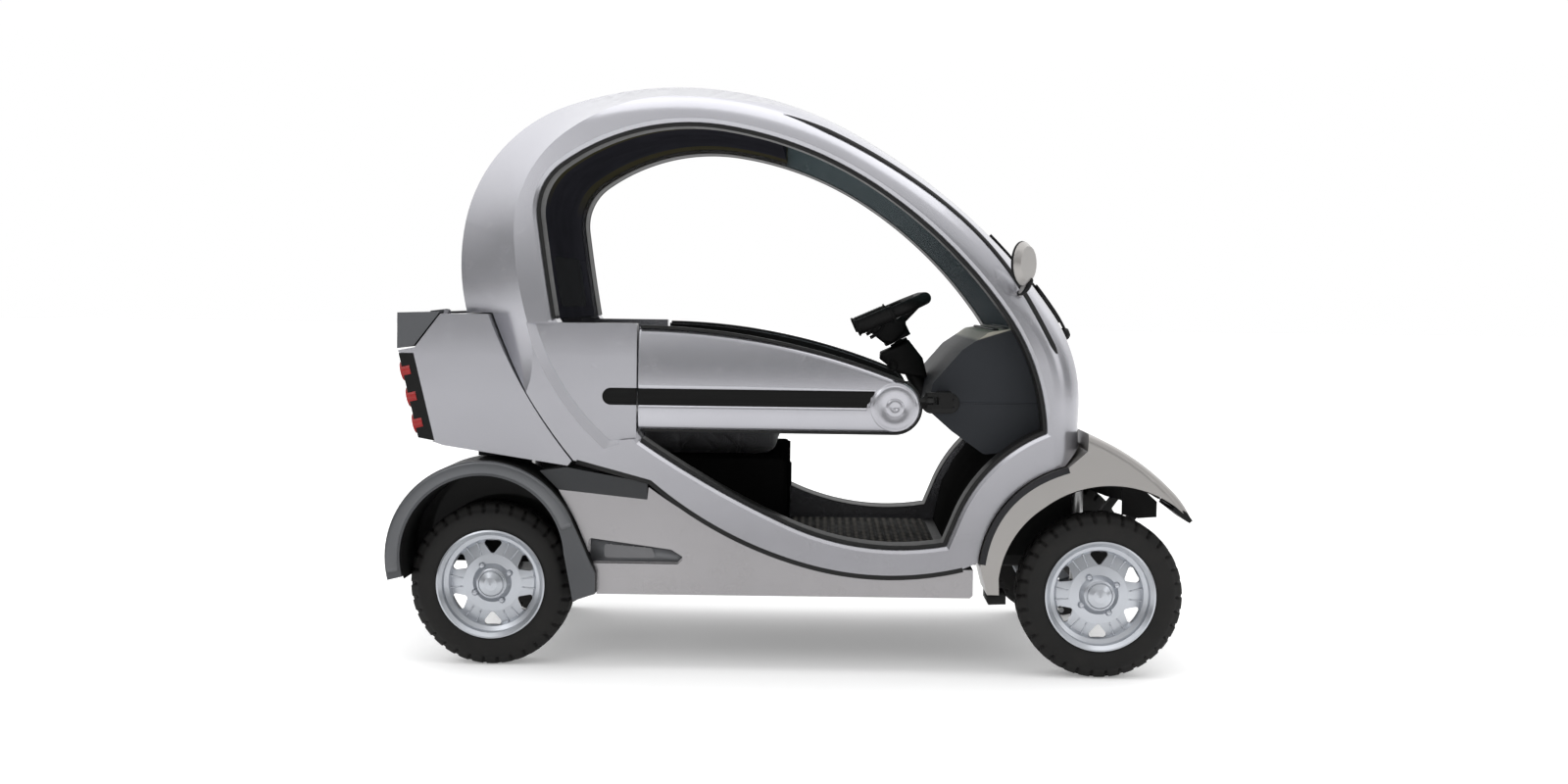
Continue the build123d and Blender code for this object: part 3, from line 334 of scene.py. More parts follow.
def seat_finish():
    """Woven seat cover: two crossing threads, fuzz and a slight sheen."""
    threads = 230.0
    made = Finish("seat_cover", Sheen_Weight=0.25)
    weave = made.wave("X", threads, 0.6) * made.wave("Y", threads, 0.6)
    cloud = made.noise(10.0, 4.0)
    made.colour(made.mix((weave * 0.6 + cloud * 0.4).clamped(), grey(0.018, 0.1), grey(0.06, 0.1)))
    made.rough(0.78 + weave * 0.12)
    return made.relief(weave + made.noise(900.0, 2.0) * 0.3, 0.0005).material


stripe_insert = stripe_finish()
guard_paint = guard_finish()
dash_moulding = dash_finish()
cabin_lining = lining_finish()
tyre_rubber = tyre_finish()
mat_rubber = mat_finish()
seat_cover = seat_finish()

node_finish = {
    "side_rings": silver, "belt_panels": silver, "roof_panel": silver, "nose_panel": silver,
    "rear_body": silver, "sills": shaded_sill_silver, "door_right": silver, "door_left": silver,
    "front_fenders": fender_grey, "bonnet": fender_grey, "rear_fenders": guard_paint,
    "quarter_strips": strip_paint, "boot_lid": gunmetal, "belt_strips": stripe_insert,
    "door_strip_right": stripe_insert, "door_strip_left": stripe_insert,
    "door_capping_right": seal_rubber, "door_capping_left": seal_rubber,
    "door_hinges": black_moulding, "windscreen": shade_tinted_screen_glass, "rear_window": smoked_glass,
    "headlamps": lamp_glass, "headliner": cabin_lining, "dashboard": dash_moulding,
    "leg_shield": shield_moulding, "steering_column": black_moulding,
    "handlebar": black_moulding, "seat_base": shaded_well_moulding, "floor_pan": chassis_paint,
    "floor_mat": mat_rubber, "rear_shelf": charcoal_moulding, "mirrors": fender_grey,
    "front_bumper": black_moulding, "front_bulkhead": black_moulding, "side_lamps": grey_lens,
    "tail_lamps": black_moulding, "tail_lenses": red_lens, "chassis": chassis_paint,
    "battery_box": charcoal_moulding, "front_axle": chassis_paint, "knuckle_right": bare_steel,
    "knuckle_left": bare_steel, "track_rod": bare_steel, "steering_rack": cast_aluminium,
    "rear_axle": chassis_paint, "drive_unit": cast_aluminium, "shock_absorbers": bare_steel,
    "seat_cushion": seat_cover, "seat_back": seat_cover,
}
for corner in ("front_right", "front_left", "rear_right", "rear_left"):
    node_finish["tyre_" + corner] = tyre_rubber
    node_finish["rim_" + corner] = wheel_silver
for node, material in node_finish.items():
    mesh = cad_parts[node].data
    mesh.materials.clear()
    mesh.materials.append(material)


# Shapes. A shape is a list of points in metres with a list of faces.

across_car = (0, 1, 0)
both_sides = (("right", -1), ("left", 1))


def arc_chain(start, heading, ends, step=9.0):
    """Points along arcs that each start on the last one's heading. An arc's centre lies on the
    normal at its start, as far from its end, and it turns by twice the angle to its chord."""
    points = [np.array([start], float)]
    way = np.array(heading, float) / np.hypot(*heading)
    here = np.array(start, float)
    for end in ends:
        chord = np.array(end, float) - here
        turn = 2 * atan2(way[0] * chord[1] - way[1] * chord[0], way @ chord)
        normal = np.array([-way[1], way[0]])
        radius = chord @ chord / (2 * (chord @ normal))
        centre = here + normal * radius
        angles = np.linspace(0, turn, max(3, int(abs(turn * radius) / step)))[1:]
        spoke = here - centre
        x = centre[0] + spoke[0] * np.cos(angles) - spoke[1] * np.sin(angles)
        z = centre[1] + spoke[0] * np.sin(angles) + spoke[1] * np.cos(angles)
        points.append(np.stack([x, z], 1))
        way = np.array([way[0] * cos(turn) - way[1] * sin(turn),
                        way[0] * sin(turn) + way[1] * cos(turn)])
        here = np.array(end, float)
    return np.vstack(points)


def smooth_path(points, count, power=5):
    """Curve near the given points: each coordinate is a polynomial of the share of the length."""
    points = np.asarray(points, float)
    run = np.concatenate([[0], np.cumsum(np.linalg.norm(np.diff(points, axis=0), axis=1))])
    run = run / run[-1]
    share = np.linspace(0, 1, count)
    power = min(power, len(points) - 1)
    return np.stack([np.polyval(np.polyfit(run, column, power), share) for column in points.T], 1)


def quads(rows, cols, wrap_rows=False, wrap_cols=False):
    """Corner numbers of the quads over a grid, joined round where it wraps."""
    index = np.arange(rows * cols).reshape(rows, cols)
    if wrap_rows:
        index = np.vstack([index, index[:1]])
    if wrap_cols:
        index = np.hstack([index, index[:, :1]])
    corners = [index[:-1, :-1], index[1:, :-1], index[1:, 1:], index[:-1, 1:]]
    return np.stack(corners, -1).reshape(-1, 4).tolist()


def tube(points, closed=False):
    """Shape over a grid of points whose rows are closed sections, with flat ends if open."""
    rows, cols = points.shape[:2]
    faces = quads(rows, cols, wrap_rows=closed, wrap_cols=True)
    if not closed:
        faces += [list(range(cols)), list(range((rows - 1) * cols, rows * cols))]
    return points.reshape(-1, 3), faces


def piece(name, shape, material, body="car"):
    """New object on a body, with its normals turned outwards. Its slot goes by its material."""
    points, faces = shape
    mesh = bpy.data.meshes.new(name)
    mesh.from_pydata(np.asarray(points, float).reshape(-1, 3).tolist(), [], faces)
    shell = bmesh.new()
    shell.from_mesh(mesh)
    bmesh.ops.recalc_face_normals(shell, faces=shell.faces)
    shell.to_mesh(mesh)
    shell.free()
    mesh.polygons.foreach_set("use_smooth", [True] * len(mesh.polygons))
    mesh.materials.append(material)
    made = bpy.data.objects.new(name, mesh)
    scene.collection.objects.link(made)
    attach(made, body)
    return made


def carried(path, section, side=across_car, closed=False, scale=1.0):
    """A section carried along a path: its first number runs along the normal in the path's plane,
    its second along the side direction. The scale, one for all or one a point, sizes it."""
    path = np.asarray(path, float)
    side = np.asarray(side, float)
    ahead = np.roll(path, -1, 0) - np.roll(path, 1, 0) if closed else np.gradient(path, axis=0)
    ahead = ahead / np.linalg.norm(ahead, axis=1, keepdims=True)
    across = np.broadcast_to(side, path.shape)
    normal = np.cross(across, ahead)
    normal = normal / np.linalg.norm(normal, axis=1, keepdims=True)
    across = np.cross(ahead, normal)
    section = np.asarray(section, float)[None] * np.reshape(scale, (-1, 1, 1))
    points = path[:, None] + normal[:, None] * section[..., :1] + across[:, None] * section[..., 1:]
    return tube(points, closed)


def pill(width, height, count=14):
    """Closed section of a flattened oval, given in millimetres."""
    turn = np.linspace(0, 2 * pi, count, endpoint=False)
    power = 0.7
    return np.stack([np.sign(np.cos(turn)) * np.abs(np.cos(turn)) ** power * (width * mm) / 2,
                     np.sign(np.sin(turn)) * np.abs(np.sin(turn)) ** power * (height * mm) / 2], 1)


def turned(profile, centre, axis, count):
    """A profile of (radius, height) points in millimetres turned about an axis."""
    axis = np.asarray(axis, float) / np.linalg.norm(axis)
    spare = np.array([0, 0, 1.0]) if abs(axis[2]) < 0.9 else np.array([1.0, 0, 0])
    first = np.cross(axis, spare)
    first = first / np.linalg.norm(first)
    second = np.cross(axis, first)
    angle = np.linspace(0, 2 * pi, count, endpoint=False)
    profile = np.asarray(profile, float) * mm
    ring = np.cos(angle)[:, None] * first + np.sin(angle)[:, None] * second
    points = (np.asarray(centre, float) + profile[None, :, :1] * ring[:, None]
              + profile[None, :, 1:] * axis)
    faces = quads(count, len(profile), wrap_rows=True)
    faces.append([i * len(profile) for i in range(count)])
    faces.append([i * len(profile) + len(profile) - 1 for i in range(count)])
    return points.reshape(-1, 3), faces


def oval_round(radius, height, half_width, half_height, count):
    """Closed oval profile for a ring of that radius, in millimetres."""
    angle = np.linspace(0, 2 * pi, count, endpoint=False)
    profile = np.stack([radius + half_width * np.cos(angle),
                        height + half_height * np.sin(angle)], 1)
    return np.vstack([profile, profile[:1]])


def joined(shapes):
    """Several shapes as one."""
    points, faces, start = [], [], 0
    for some_points, some_faces in shapes:
        points.append(some_points)
        faces += [[i + start for i in face] for face in some_faces]
        start += len(some_points)
    return np.vstack(points), faces


def in_side_view(points, y):
    """Side-view points set at a place across the car. Millimetres in, metres out."""
    points = np.asarray(points, float) * mm
    return np.stack([points[:, 0], np.full(len(points), y * mm, float), points[:, 1]], 1)


def bead(points, y, width, height, count=14):
    """Flattened oval carried along a side-view line, at a place across the car."""
    return carried(in_side_view(points, y), pill(width, height, count))


def slab(points, y_from, y_to, edge):
    """Side-view polygon carried across the car with a chamfer: each corner moves inwards along
    the mean of its two sides' normals at both ends."""
    points = np.asarray(points, float)
    ahead = np.roll(points, -1, 0) - points
    ahead = ahead / np.linalg.norm(ahead, axis=1, keepdims=True)
    normal = np.stack([ahead[:, 1], -ahead[:, 0]], 1)
    corner = normal + np.roll(normal, 1, 0)
    corner = corner / (corner * corner).sum(1, keepdims=True) * 2
    after = np.roll(points, -1, 0)
    turning = (points[:, 0] * after[:, 1] - points[:, 1] * after[:, 0]).sum()
    inner = points - corner * edge * (1 if turning > 0 else -1)
    inset = edge * (1 if y_to > y_from else -1)
    rings = [(inner, y_from), (points, y_from + inset), (points, y_to - inset), (inner, y_to)]
    return tube(np.stack([in_side_view(ring, y) for ring, y in rings]))


# Tyres: a rounded section turned about the axle, with blocks cut from it by a height field

axle_height = 250 * mm
tread_foot, tread_rise = 222, 9
row_edge, row_step = 27, 4


def tyre(name, x, y, body, count=476, blocks=34, depth=9 * mm):
    """Radius and width follow the section from bead to bead. The blocks' grooves lower it along
    its normal: cross grooves where the angle's phase is near a whole number, two zigzag rings."""
    half = np.array([(158, 50), (164, 58), (170, 64.5), (180, 68.5), (192, 71.4), (205, 72.5),
                     (214, 71.6), (221, 69.3), (226, 66), (231, 62.5), (236, 60), (241, 57),
                     (245, 53), (248, 47), (249.5, 40), (250, 34), (250, 30), (250, 26), (250, 22),
                     (250, 17), (250, 12), (250, 7), (250, 3)])
    section = np.vstack([half, half[::-1] * (1, -1)]) * mm
    along = np.gradient(section, axis=0)
    normal = np.stack([-along[:, 1], along[:, 0]], 1)
    normal = normal / np.linalg.norm(normal, axis=1, keepdims=True)
    angle = np.linspace(0, 2 * pi, count, endpoint=False)[:, None]
    wide = section[None, :, 1] / mm
    tall = section[None, :, 0] / mm
    phase = angle * blocks / (2 * pi)
    shoulder = np.clip((np.abs(wide) - 24) / 6, 0, 1)
    skew = np.where(np.abs(wide) > row_edge, 0.25 * np.sign(wide) + np.abs(wide) * 0.004,
                    wide * 0.012 + 0.5)
    near = np.abs((phase + skew + 0.5) % 1 - 0.5)
    cross = np.clip((0.13 - near) / 0.05, 0, 1)
    zigzag = row_edge + row_step * np.sign(np.sin(angle * blocks))
    ring = np.clip((4.2 - np.abs(np.abs(wide) - zigzag)) / 1.6, 0, 1)
    centre_line = 3 * np.sign(np.sin(angle * blocks + 1))
    centre_line = np.clip((2.6 - np.abs(wide - centre_line)) / 1.4, 0, 1)
    reach = np.clip((tall - tread_foot) / tread_rise, 0, 1)
    lip = np.clip(1 - np.abs(tall - 218) / 4, 0, 1) * -0.22 * (np.abs(wide) > 60)
    ribs = np.clip(1 - np.abs(tall - 186) / 2.5, 0, 1) * -0.12
    groove = np.maximum(np.maximum(cross, ring), centre_line * 0.8 * (1 - shoulder)) * reach
    drop = (groove + lip + ribs) * depth
    radius = section[None, :, 0] - np.abs(normal[None, :, 0]) * drop
    width = section[None, :, 1] - np.sign(wide) * np.abs(normal[None, :, 1]) * drop
    points = np.stack([x + radius * np.cos(angle), y + width + 0 * angle,
                       axle_height + radius * np.sin(angle)], -1)
    made = piece(name, tube(points, closed=True), tyre_rubber, body)
    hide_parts(name.replace("treaded_", ""))


# Wheel trim on the outer face of each rim

nut_profile = [(10.5, 0), (10.5, 4), (9, 5), (8.6, 12), (7, 15), (3, 16.4), (0.1, 16.6)]


def wheel_trim(name, x, y, side, body):
    """Capped nuts on a circle, pairs of low ribs between the windows, and a ring on the hub."""
    facing = (0, side, 0)

    def on_face(radius, angle, out):
        """Places by radius, angle and distance from the wheel's middle plane, in millimetres."""
        radius, angle, out = np.broadcast_arrays(radius, angle, out)
        return np.stack([x + radius * mm * np.cos(angle), y + side * out * mm,
                         axle_height + radius * mm * np.sin(angle)], -1)

    shapes = [turned(nut_profile, on_face(61, radians(30 + 90 * k), 29), facing, 24)
              for k in range(4)]
    run = np.linspace(92, 133, 12)
    out = np.interp(run, [92, 100, 128, 133], [29, 24, 21.5, 25])
    for k in range(6):
        for offset in (-8, 8):
            shapes.append(carried(on_face(run, radians(60 * k + offset), out), pill(5, 7, 8)))
    circle = on_face(40.5, np.linspace(0, 2 * pi, 64, endpoint=False), 50)
    shapes.append(carried(circle, pill(4, 4, 10), closed=True))
    piece(name, joined(shapes), wheel_silver, body)


for corner, x, y, side in (("front_right", 0.948, -0.510, -1), ("front_left", 0.948, 0.510, 1),
                           ("rear_right", -0.908, -0.460, -1), ("rear_left", -0.908, 0.460, 1)):
    tyre("treaded_tyre_" + corner, x, y, "wheel_" + corner)
    wheel_trim("wheel_trim_" + corner, x, y, side, "wheel_" + corner)


# Doors: a crowned leaf with a sunk stretch for the stripe, and its rubbers

door_rear, door_foot = -455, 734
boss_x, boss_z, end_radius = 321, 812, 78
top_front = (350.2, 884.3)
bed_low, bed_high, bed_wall, bed_depth = 808, 860, 1.2, 10
waist_low, waist_high = 803, 865
leaf_out, leaf_in, leaf_edge = 562, 517, 16
hinge_x, hinge_y, hinge_z = 428, 545, 834
door_top = arc_chain(top_front, (-0.927, 0.375), [(door_rear, 1043)], step=6.0)[::-1]


def door_edges(x):
    """Lowest and highest height of the leaf at places along the car: straight foot, arc above,
    and a circle round the boss at the front end."""
    reach = np.sqrt(np.clip(end_radius ** 2 - np.clip(x - boss_x, 0, None) ** 2, 0, None))
    low = np.where(x > boss_x, boss_z - reach, door_foot)
    high = np.where(x > top_front[0], boss_z + reach, np.interp(x, door_top[:, 0], door_top[:, 1]))
    return low, high


def door_leaf(side):
    """Height over the side view: a flat waist falling inwards by squares above and below it, a
    quarter circle round the edge, and the stripe's sunk bed behind its slanted end."""
    x = np.concatenate([np.linspace(door_rear, -448, 4), np.linspace(-440, 228, 75),
                        np.linspace(232, 266, 24), np.linspace(272, 316, 8),
                        boss_x + 77.7 * np.sin(np.linspace(0.02, pi / 2, 34))])
    low, high = door_edges(x)
    high_behind_boss = door_edges(np.minimum(x, 300))[1]
    bed_foot, bed_head = bed_low - door_foot, bed_high - door_foot
    rows = np.concatenate([np.linspace(0, 1, 16) ** 1.6 * bed_foot,
                           [bed_foot + bed_wall, 80, 100, 120, bed_head - bed_wall]])
    above_bed = (1 - (1 - np.linspace(0, 1, 30)) ** 1.6) * (high_behind_boss[:, None] - bed_high)
    share = np.concatenate([np.broadcast_to(rows, (len(x), len(rows))), bed_head + above_bed], 1)
    share = share / share[:, -1:]
    z = low[:, None] + (high - low)[:, None] * share
    x_grid = np.broadcast_to(x[:, None], z.shape)
    slope = np.gradient(high, x).clip(-1, 1)
    to_edge = np.minimum(z - low[:, None], (high[:, None] - z) / np.sqrt(1 + slope[:, None] ** 2))
    to_end = end_radius - np.hypot(x_grid - boss_x, z - boss_z)
    to_edge = np.where(x_grid > boss_x, np.minimum(to_edge, to_end), to_edge)
    short = leaf_edge - np.clip(to_edge, 0, leaf_edge)
    drop = leaf_edge - np.sqrt(leaf_edge ** 2 - short ** 2)
    drop = (drop + 20 * (np.clip(z - waist_high, 0, None) / 180) ** 2
            + 14 * (np.clip(waist_low - z, 0, None) / 70) ** 2)
    drop = drop + np.clip(2.5 - (x_grid - door_rear), 0, 2.5)
    slant = 235 + (z - bed_low) * 27 / (bed_high - bed_low)
    bed = (np.clip((slant - x_grid) / 1.5, 0, 1) * np.clip((z - bed_low) / bed_wall, 0, 1)
           * np.clip((bed_high - z) / bed_wall, 0, 1))
    depth = leaf_out - drop - bed * bed_depth
    outer = np.stack([x_grid, side * depth, z], -1)
    inner = np.stack([x_grid[:, [-1, 0]], np.full((len(x), 2), side * leaf_in), z[:, [-1, 0]]], -1)
    return tube(np.concatenate([outer, inner], 1) * mm)


boss_profile = [(74, -3), (73.5, 1), (71, 2.4), (66, 2.6), (64, 5.6), (61, 6.6), (31, 7), (29, 5.4),
                (26, 5.4), (24, 7.2), (9, 7.6), (7, 5.2), (0.1, 5.2)]
eye_profile = [(8.3, -7), (14.2, -7), (15, -6.2), (15, 6.2), (14.2, 7), (8.3, 7), (8.3, -7)]
end_angle = np.linspace(-pi / 2, radians(62), 40)
end_line = np.stack([boss_x + 80 * np.cos(end_angle), boss_z + 80 * np.sin(end_angle)], 1)
foot_line = np.stack([np.linspace(-440, 300, 40), np.full(40, 732.0)], 1)
panel_x = np.concatenate([np.linspace(-452, 300, 30),
                          boss_x + 75 * np.sin(np.linspace(0, 1.5, 20))])
panel_low, panel_high = door_edges(panel_x)
panel_line = np.vstack([np.stack([panel_x, panel_low + 3], 1),
                        np.stack([panel_x, panel_high - 3], 1)[::-1]])
tongue_line = [(360, hinge_z), (394, hinge_z), (hinge_x, hinge_z)]
for name, side in both_sides:
    boss = turned(boss_profile, (boss_x * mm, side * 560.5 * mm, boss_z * mm), (0, side, 0), 64)
    leaf = piece(f"door_leaf_{name}", joined([door_leaf(side), boss]), silver, f"door_{name}")
    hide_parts(f"door_{name}", f"door_capping_{name}")
    capping = bead(door_top[1:] + (0, 3.0), side * 536, 10, 34, 20)
    gasket = bead(np.vstack([foot_line, end_line]), side * 530, 11, 26, 16)
    panel = slab(panel_line, side * 519, side * 513, 2)
    tongue = bead(tongue_line, side * hinge_y, 14, 14)
    eye = turned(eye_profile, (hinge_x * mm, side * hinge_y * mm, hinge_z * mm), (0, 0, 1), 40)
    piece(f"door_rubber_{name}", joined([capping, gasket, panel, tongue, eye]), seal_rubber,
          f"door_{name}")


# Seals and trims that lie on the body

outline = arc_chain((-995, 1082), (-0.2385, 0.9711),
                    [(-999, 1364), (-684, 1716), (208, 1627), (485, 1437), (800, 1098), (883, 799),
                     (884, 700)], step=3.0)
shoulder_radius, ring_inside = 85, 480
screen_half, screen_crown, screen_rear = 452, 30, 208


def on_shoulder(path, side, proud):
    """Places on the ring's rounded shoulder over side-view points: a quarter circle that starts
    at the outline. Returns points in metres and the surface's normals."""
    gaps = outline[None] - path[:, None]
    reach = np.linalg.norm(gaps, axis=2)
    nearest = reach.argmin(1)
    inside = reach[np.arange(len(path)), nearest]
    outward = gaps[np.arange(len(path)), nearest] / inside[:, None]
    lean = np.clip((shoulder_radius - inside) / shoulder_radius, 0, 1)
    flat = np.sqrt(1 - lean ** 2)
    normals = np.stack([outward[:, 0] * lean, side * flat, outward[:, 1] * lean], 1)
    points = np.stack([path[:, 0], side * (ring_inside + shoulder_radius * flat), path[:, 1]], 1)
    return (points + normals * proud) * mm, normals


def on_screen(height, across, proud):
    """Places on the crowned windscreen, by height and by place across the car."""
    front = outline[outline[:, 0] > screen_rear]
    x = np.interp(height, front[::-1, 1], front[::-1, 0])
    along = np.gradient(front, axis=0)
    lean = np.interp(height, front[::-1, 1], (-along[:, 0] / along[:, 1])[::-1])
    size = np.sqrt(1 + lean ** 2)
    out = proud + screen_crown * (1 - (across / screen_half) ** 2)
    return np.stack([x + out / size, across, height + out * lean / size], 1) * mm


opening_line = np.vstack([
    arc_chain((-710, 1068), (-0.1702, 0.9854),
              [(-755, 1369), (-685, 1529), (-207, 1645), (252, 1473), (650, 1093), (771, 745)]),
    arc_chain((510, 484), (34, 83), [(771, 745)])[::-1][1:],
    arc_chain((476, 401), (-1, -0.18), [(3, 458), (-444, 706)])])
ring_foot = np.vstack([arc_chain((533, 324), (-0.97, -0.242), [(74, 325), (-416, 576)]),
                       [(-530, 606), (-640, 635)]])
screen_edge = smooth_path([(-26, 1688), (115, 1635), (351, 1508), (514, 1381), (649, 1246),
                           (719, 1134), (805, 981)], 90)
seal_size = np.clip(np.linspace(0.05, 8, 90), 0, 1) * np.clip(np.linspace(30, 0.4, 90), 0, 1)
fender_edge = smooth_path([(589, 345), (650, 505), (843, 634)], 40)
front_arch = smooth_path([(641, 330), (674, 415), (771, 517), (931, 583), (1060, 574),
                          (1156, 526)], 60)
arch_centre = np.array([-920, 342])
arch_angle = np.linspace(radians(196), radians(14), 60)
arch_way = np.stack([np.cos(arch_angle), np.sin(arch_angle)], 1)
liner_y, liner_width = 488, 208
lip_line = [(1160, 532), (1196, 512), (1214, 487), (1205, 479), (1178, 500), (1152, 519)]
fender_foot = [(604, 255), (662, 255), (662, 224), (610, 222), (604, 232)]
lamp_line = [(-598, 330), (-598, 400), (-352, 368), (-316, 346), (-332, 330)]
for name, side in both_sides:
    opening = in_side_view(opening_line, side * 549)
    moved_in = carried(opening, [(-2 * mm, 0)] * 3)[0][::3]
    wall = bead(opening_line, side * 500, 6, 100, 20)
    piece(f"opening_seal_{name}", joined([carried(moved_in, pill(12, 16)), wall]), seal_rubber)
    piece(f"ring_foot_seal_{name}", bead(ring_foot, side * 562.5, 16, 7, 10), seal_rubber)
    points, normals = on_shoulder(screen_edge, side, 0.8)
    piece(f"screen_seal_{name}", carried(points, pill(15, 5, 12), normals, scale=seal_size),
          seal_rubber)
    piece(f"fender_edge_{name}", bead(fender_edge, side * 599.6, 20, 3, 12), charcoal_moulding)
    lip = slab(lip_line, side * 598, side * 384, 3)
    foot = slab(fender_foot, side * 590, side * 470, 4)
    piece(f"fender_lip_{name}", joined([lip, foot]), black_moulding)
    liner = bead(front_arch, side * liner_y, 3, liner_width, 24)
    rear_liner = bead(arch_centre + arch_way * 248, side * liner_y, 3, liner_width, 24)
    piece(f"arch_liner_{name}", joined([liner, rear_liner]), black_moulding)
    piece(f"lamp_bed_{name}", slab(lamp_line, side * 541, side * 543.4, 1), gunmetal)
    crest = (arch_centre + arch_way * 274)[2:-2]
    piece(f"arch_lip_{name}", bead(crest, side * 598, 36, 12, 20), gunmetal)


# Mirrors, wiper and lamp rims

glass_profile = [(0.1, 1.6), (30, 1.4), (58, 0.6), (60, -0.5), (60, -1.5)]
mirror_turn = radians(33)
for name, side in both_sides:
    facing = np.array([-cos(mirror_turn), -side * sin(mirror_turn), 0])
    centre = np.array([685, side * 628, 1247]) * mm
    piece(f"mirror_glass_{name}", turned(glass_profile, centre, facing, 64), chrome)
    rim = turned(oval_round(63, -2, 4, 4.5, 12), centre, facing, 64)
    stalk = smooth_path([(689, side * 556, 1160), (705, side * 600, 1176),
                         (712, side * 632, 1200)], 16) * mm
    clamp = carried(stalk, pill(17, 17), (0, 0, 1))
    piece(f"mirror_rim_{name}", joined([rim, clamp]), black_moulding)

arm = on_screen(np.linspace(1030, 1175, 24), np.linspace(-330, -415, 24), 11)
blade = on_screen(np.linspace(1068, 1330, 60), np.linspace(-425, -380, 60), 5)
pivot = on_screen(np.array([1028.0]), np.array([-330.0]), 0)[0]
pivot_profile = [(20, 0), (20, 8), (17, 14), (12, 20), (0.1, 21)]
piece("wiper", joined([carried(arm, pill(9, 12, 10)), carried(blade, pill(9, 7, 10)),
                       turned(pivot_profile, pivot, (0.93, 0, 0.37), 32)]), black_moulding)
piece("headlamp_rims", joined([turned(oval_round(64, 0, 6, 5, 14), (0.889, side * 0.330, 0.850),
                                      (1, 0, 0.02), 64) for side in (-1, 1)]), chrome)


# Cabin: shroud and yoke of the steering, grips, dash details, seat trim and the mat's pattern

shroud_line = [(293, 962), (385, 1004), (431, 946), (449, 878), (351, 894), (292, 938)]
bolt_profile = [(18, 0), (18, 3), (16, 5), (12, 5), (11, 2), (0.1, 2)]
bolt = turned(bolt_profile, (0.331, -0.069, 0.919), (0, -1, 0), 32)
piece("column_shroud", joined([slab(shroud_line, -70, 70, 8), bolt]), black_moulding)

yoke_line = [(240, 1042), (371, 1081), (374, 1035), (332, 994), (298, 996), (269, 1019)]
grip_profile = ([(19, 0), (26, 0.5), (27.5, 3), (27.5, 6), (24, 9)]
                + [(24 + 1.2 * (k % 2), 14 + 5 * k) for k in range(21)]
                + [(24, 120), (29, 123), (29, 127), (20.5, 129)])
bar_way = np.array([0.915, 0, 0.404])
shapes = [slab(yoke_line, -96, 96, 8)]
for side in (-1, 1):
    grip_foot = np.array([208, side * 290, 1045]) * mm - bar_way * 2 * mm
    shapes.append(turned(grip_profile, grip_foot, bar_way, 40))
    lever = smooth_path([(300, side * 262, 1072), (284, side * 252, 1040),
                         (252, side * 250, 1014)], 16) * mm
    shapes.append(carried(lever, pill(9, 12, 10), (0, 0, 1)))
piece("steering_trim", joined(shapes), black_moulding, "handlebar")

turn = np.linspace(0, 2 * pi, 40, endpoint=False)
recess_line = np.stack([465 + np.sign(np.cos(turn)) * (27 + 32 * np.abs(np.cos(turn))),
                        820 + 32 * np.sin(turn)], 1)
for name, side in both_sides:
    piece(f"hinge_recess_{name}", slab(recess_line, side * 448, side * 455, 2), seal_rubber)
    slats = [bead([(430, z), (470, z), (508, z)], side * 455, 5, 4, 8) for z in (808, 832)]
    piece(f"hinge_slats_{name}", joined(slats), charcoal_moulding)
vent_y = np.linspace(-380, 380, 9) * mm
vents = []
for x, z in ((640, 1047), (672, 1051), (704, 1052), (736, 1041)):
    ridge = np.stack([np.full(9, x) * mm, vent_y, np.full(9, z) * mm], 1)
    vents.append(carried(ridge, pill(12, 8, 10), (0, 0, 1)))
piece("dash_vents", joined(vents), charcoal_moulding)
shield_line = smooth_path([(523, 430), (548, 500), (596, 580), (664, 655)], 40, 3)
shield_edges = [bead(shield_line + (forward, 0), side * 449, 4, 6, 8)
                for side in (-1, 1) for forward in (4, 26)]
piece("shield_edges", joined(shield_edges), fender_grey)
base_front = slab([(-16, 360), (-16, 630), (-9, 630), (-9, 360)], -390, 390, 2)
posts = [slab([(-12, 466), (-12, 560), (-4, 552), (-4, 474)], side * 388, side * 372, 1.5)
         for side in (-1, 1)]
piece("seat_base_front", joined([base_front, *posts]), shaded_well_moulding)

mat_rear, mat_front, mat_half = -8, 466, 396
mat_top, mat_rim = 355.8, 355.2
lozenge_length, lozenge_width, lozenge_rise = 26, 34, 2.6


def mat_pattern():
    """Height over the mat: raised lozenges, the height being one less the sum of the shares of a
    lozenge's half length and half width, cut off at the sides and held level on top."""
    x, y = np.meshgrid(np.linspace(mat_rear, mat_front, 110), np.linspace(-mat_half, mat_half, 190),
                       indexing="ij")
    stagger = np.floor(x / lozenge_length) % 2 * 0.5
    across = np.abs((y / lozenge_width + stagger) % 1 - 0.5) * 2
    along = np.abs((x / lozenge_length) % 1 - 0.5) * 2
    rise = np.clip((1.02 - across - along) * 7, 0, lozenge_rise)
    to_side = np.minimum(np.minimum(x - mat_rear, mat_front - x), mat_half - np.abs(y))
    height = mat_top + rise * np.clip(to_side / 10, 0, 1)
    height[[0, -1]] = mat_rim
    height[:, [0, -1]] = mat_rim
    return np.stack([x, y, height], -1) * mm, quads(*x.shape)


piece("mat_lozenges", mat_pattern(), mat_rubber)


# Seat: a cushion and a back, blown up from a slightly smaller form by a cloth simulation

swell_limit, channel_half, channel_depth = 24 * mm, 7 * mm, 7 * mm


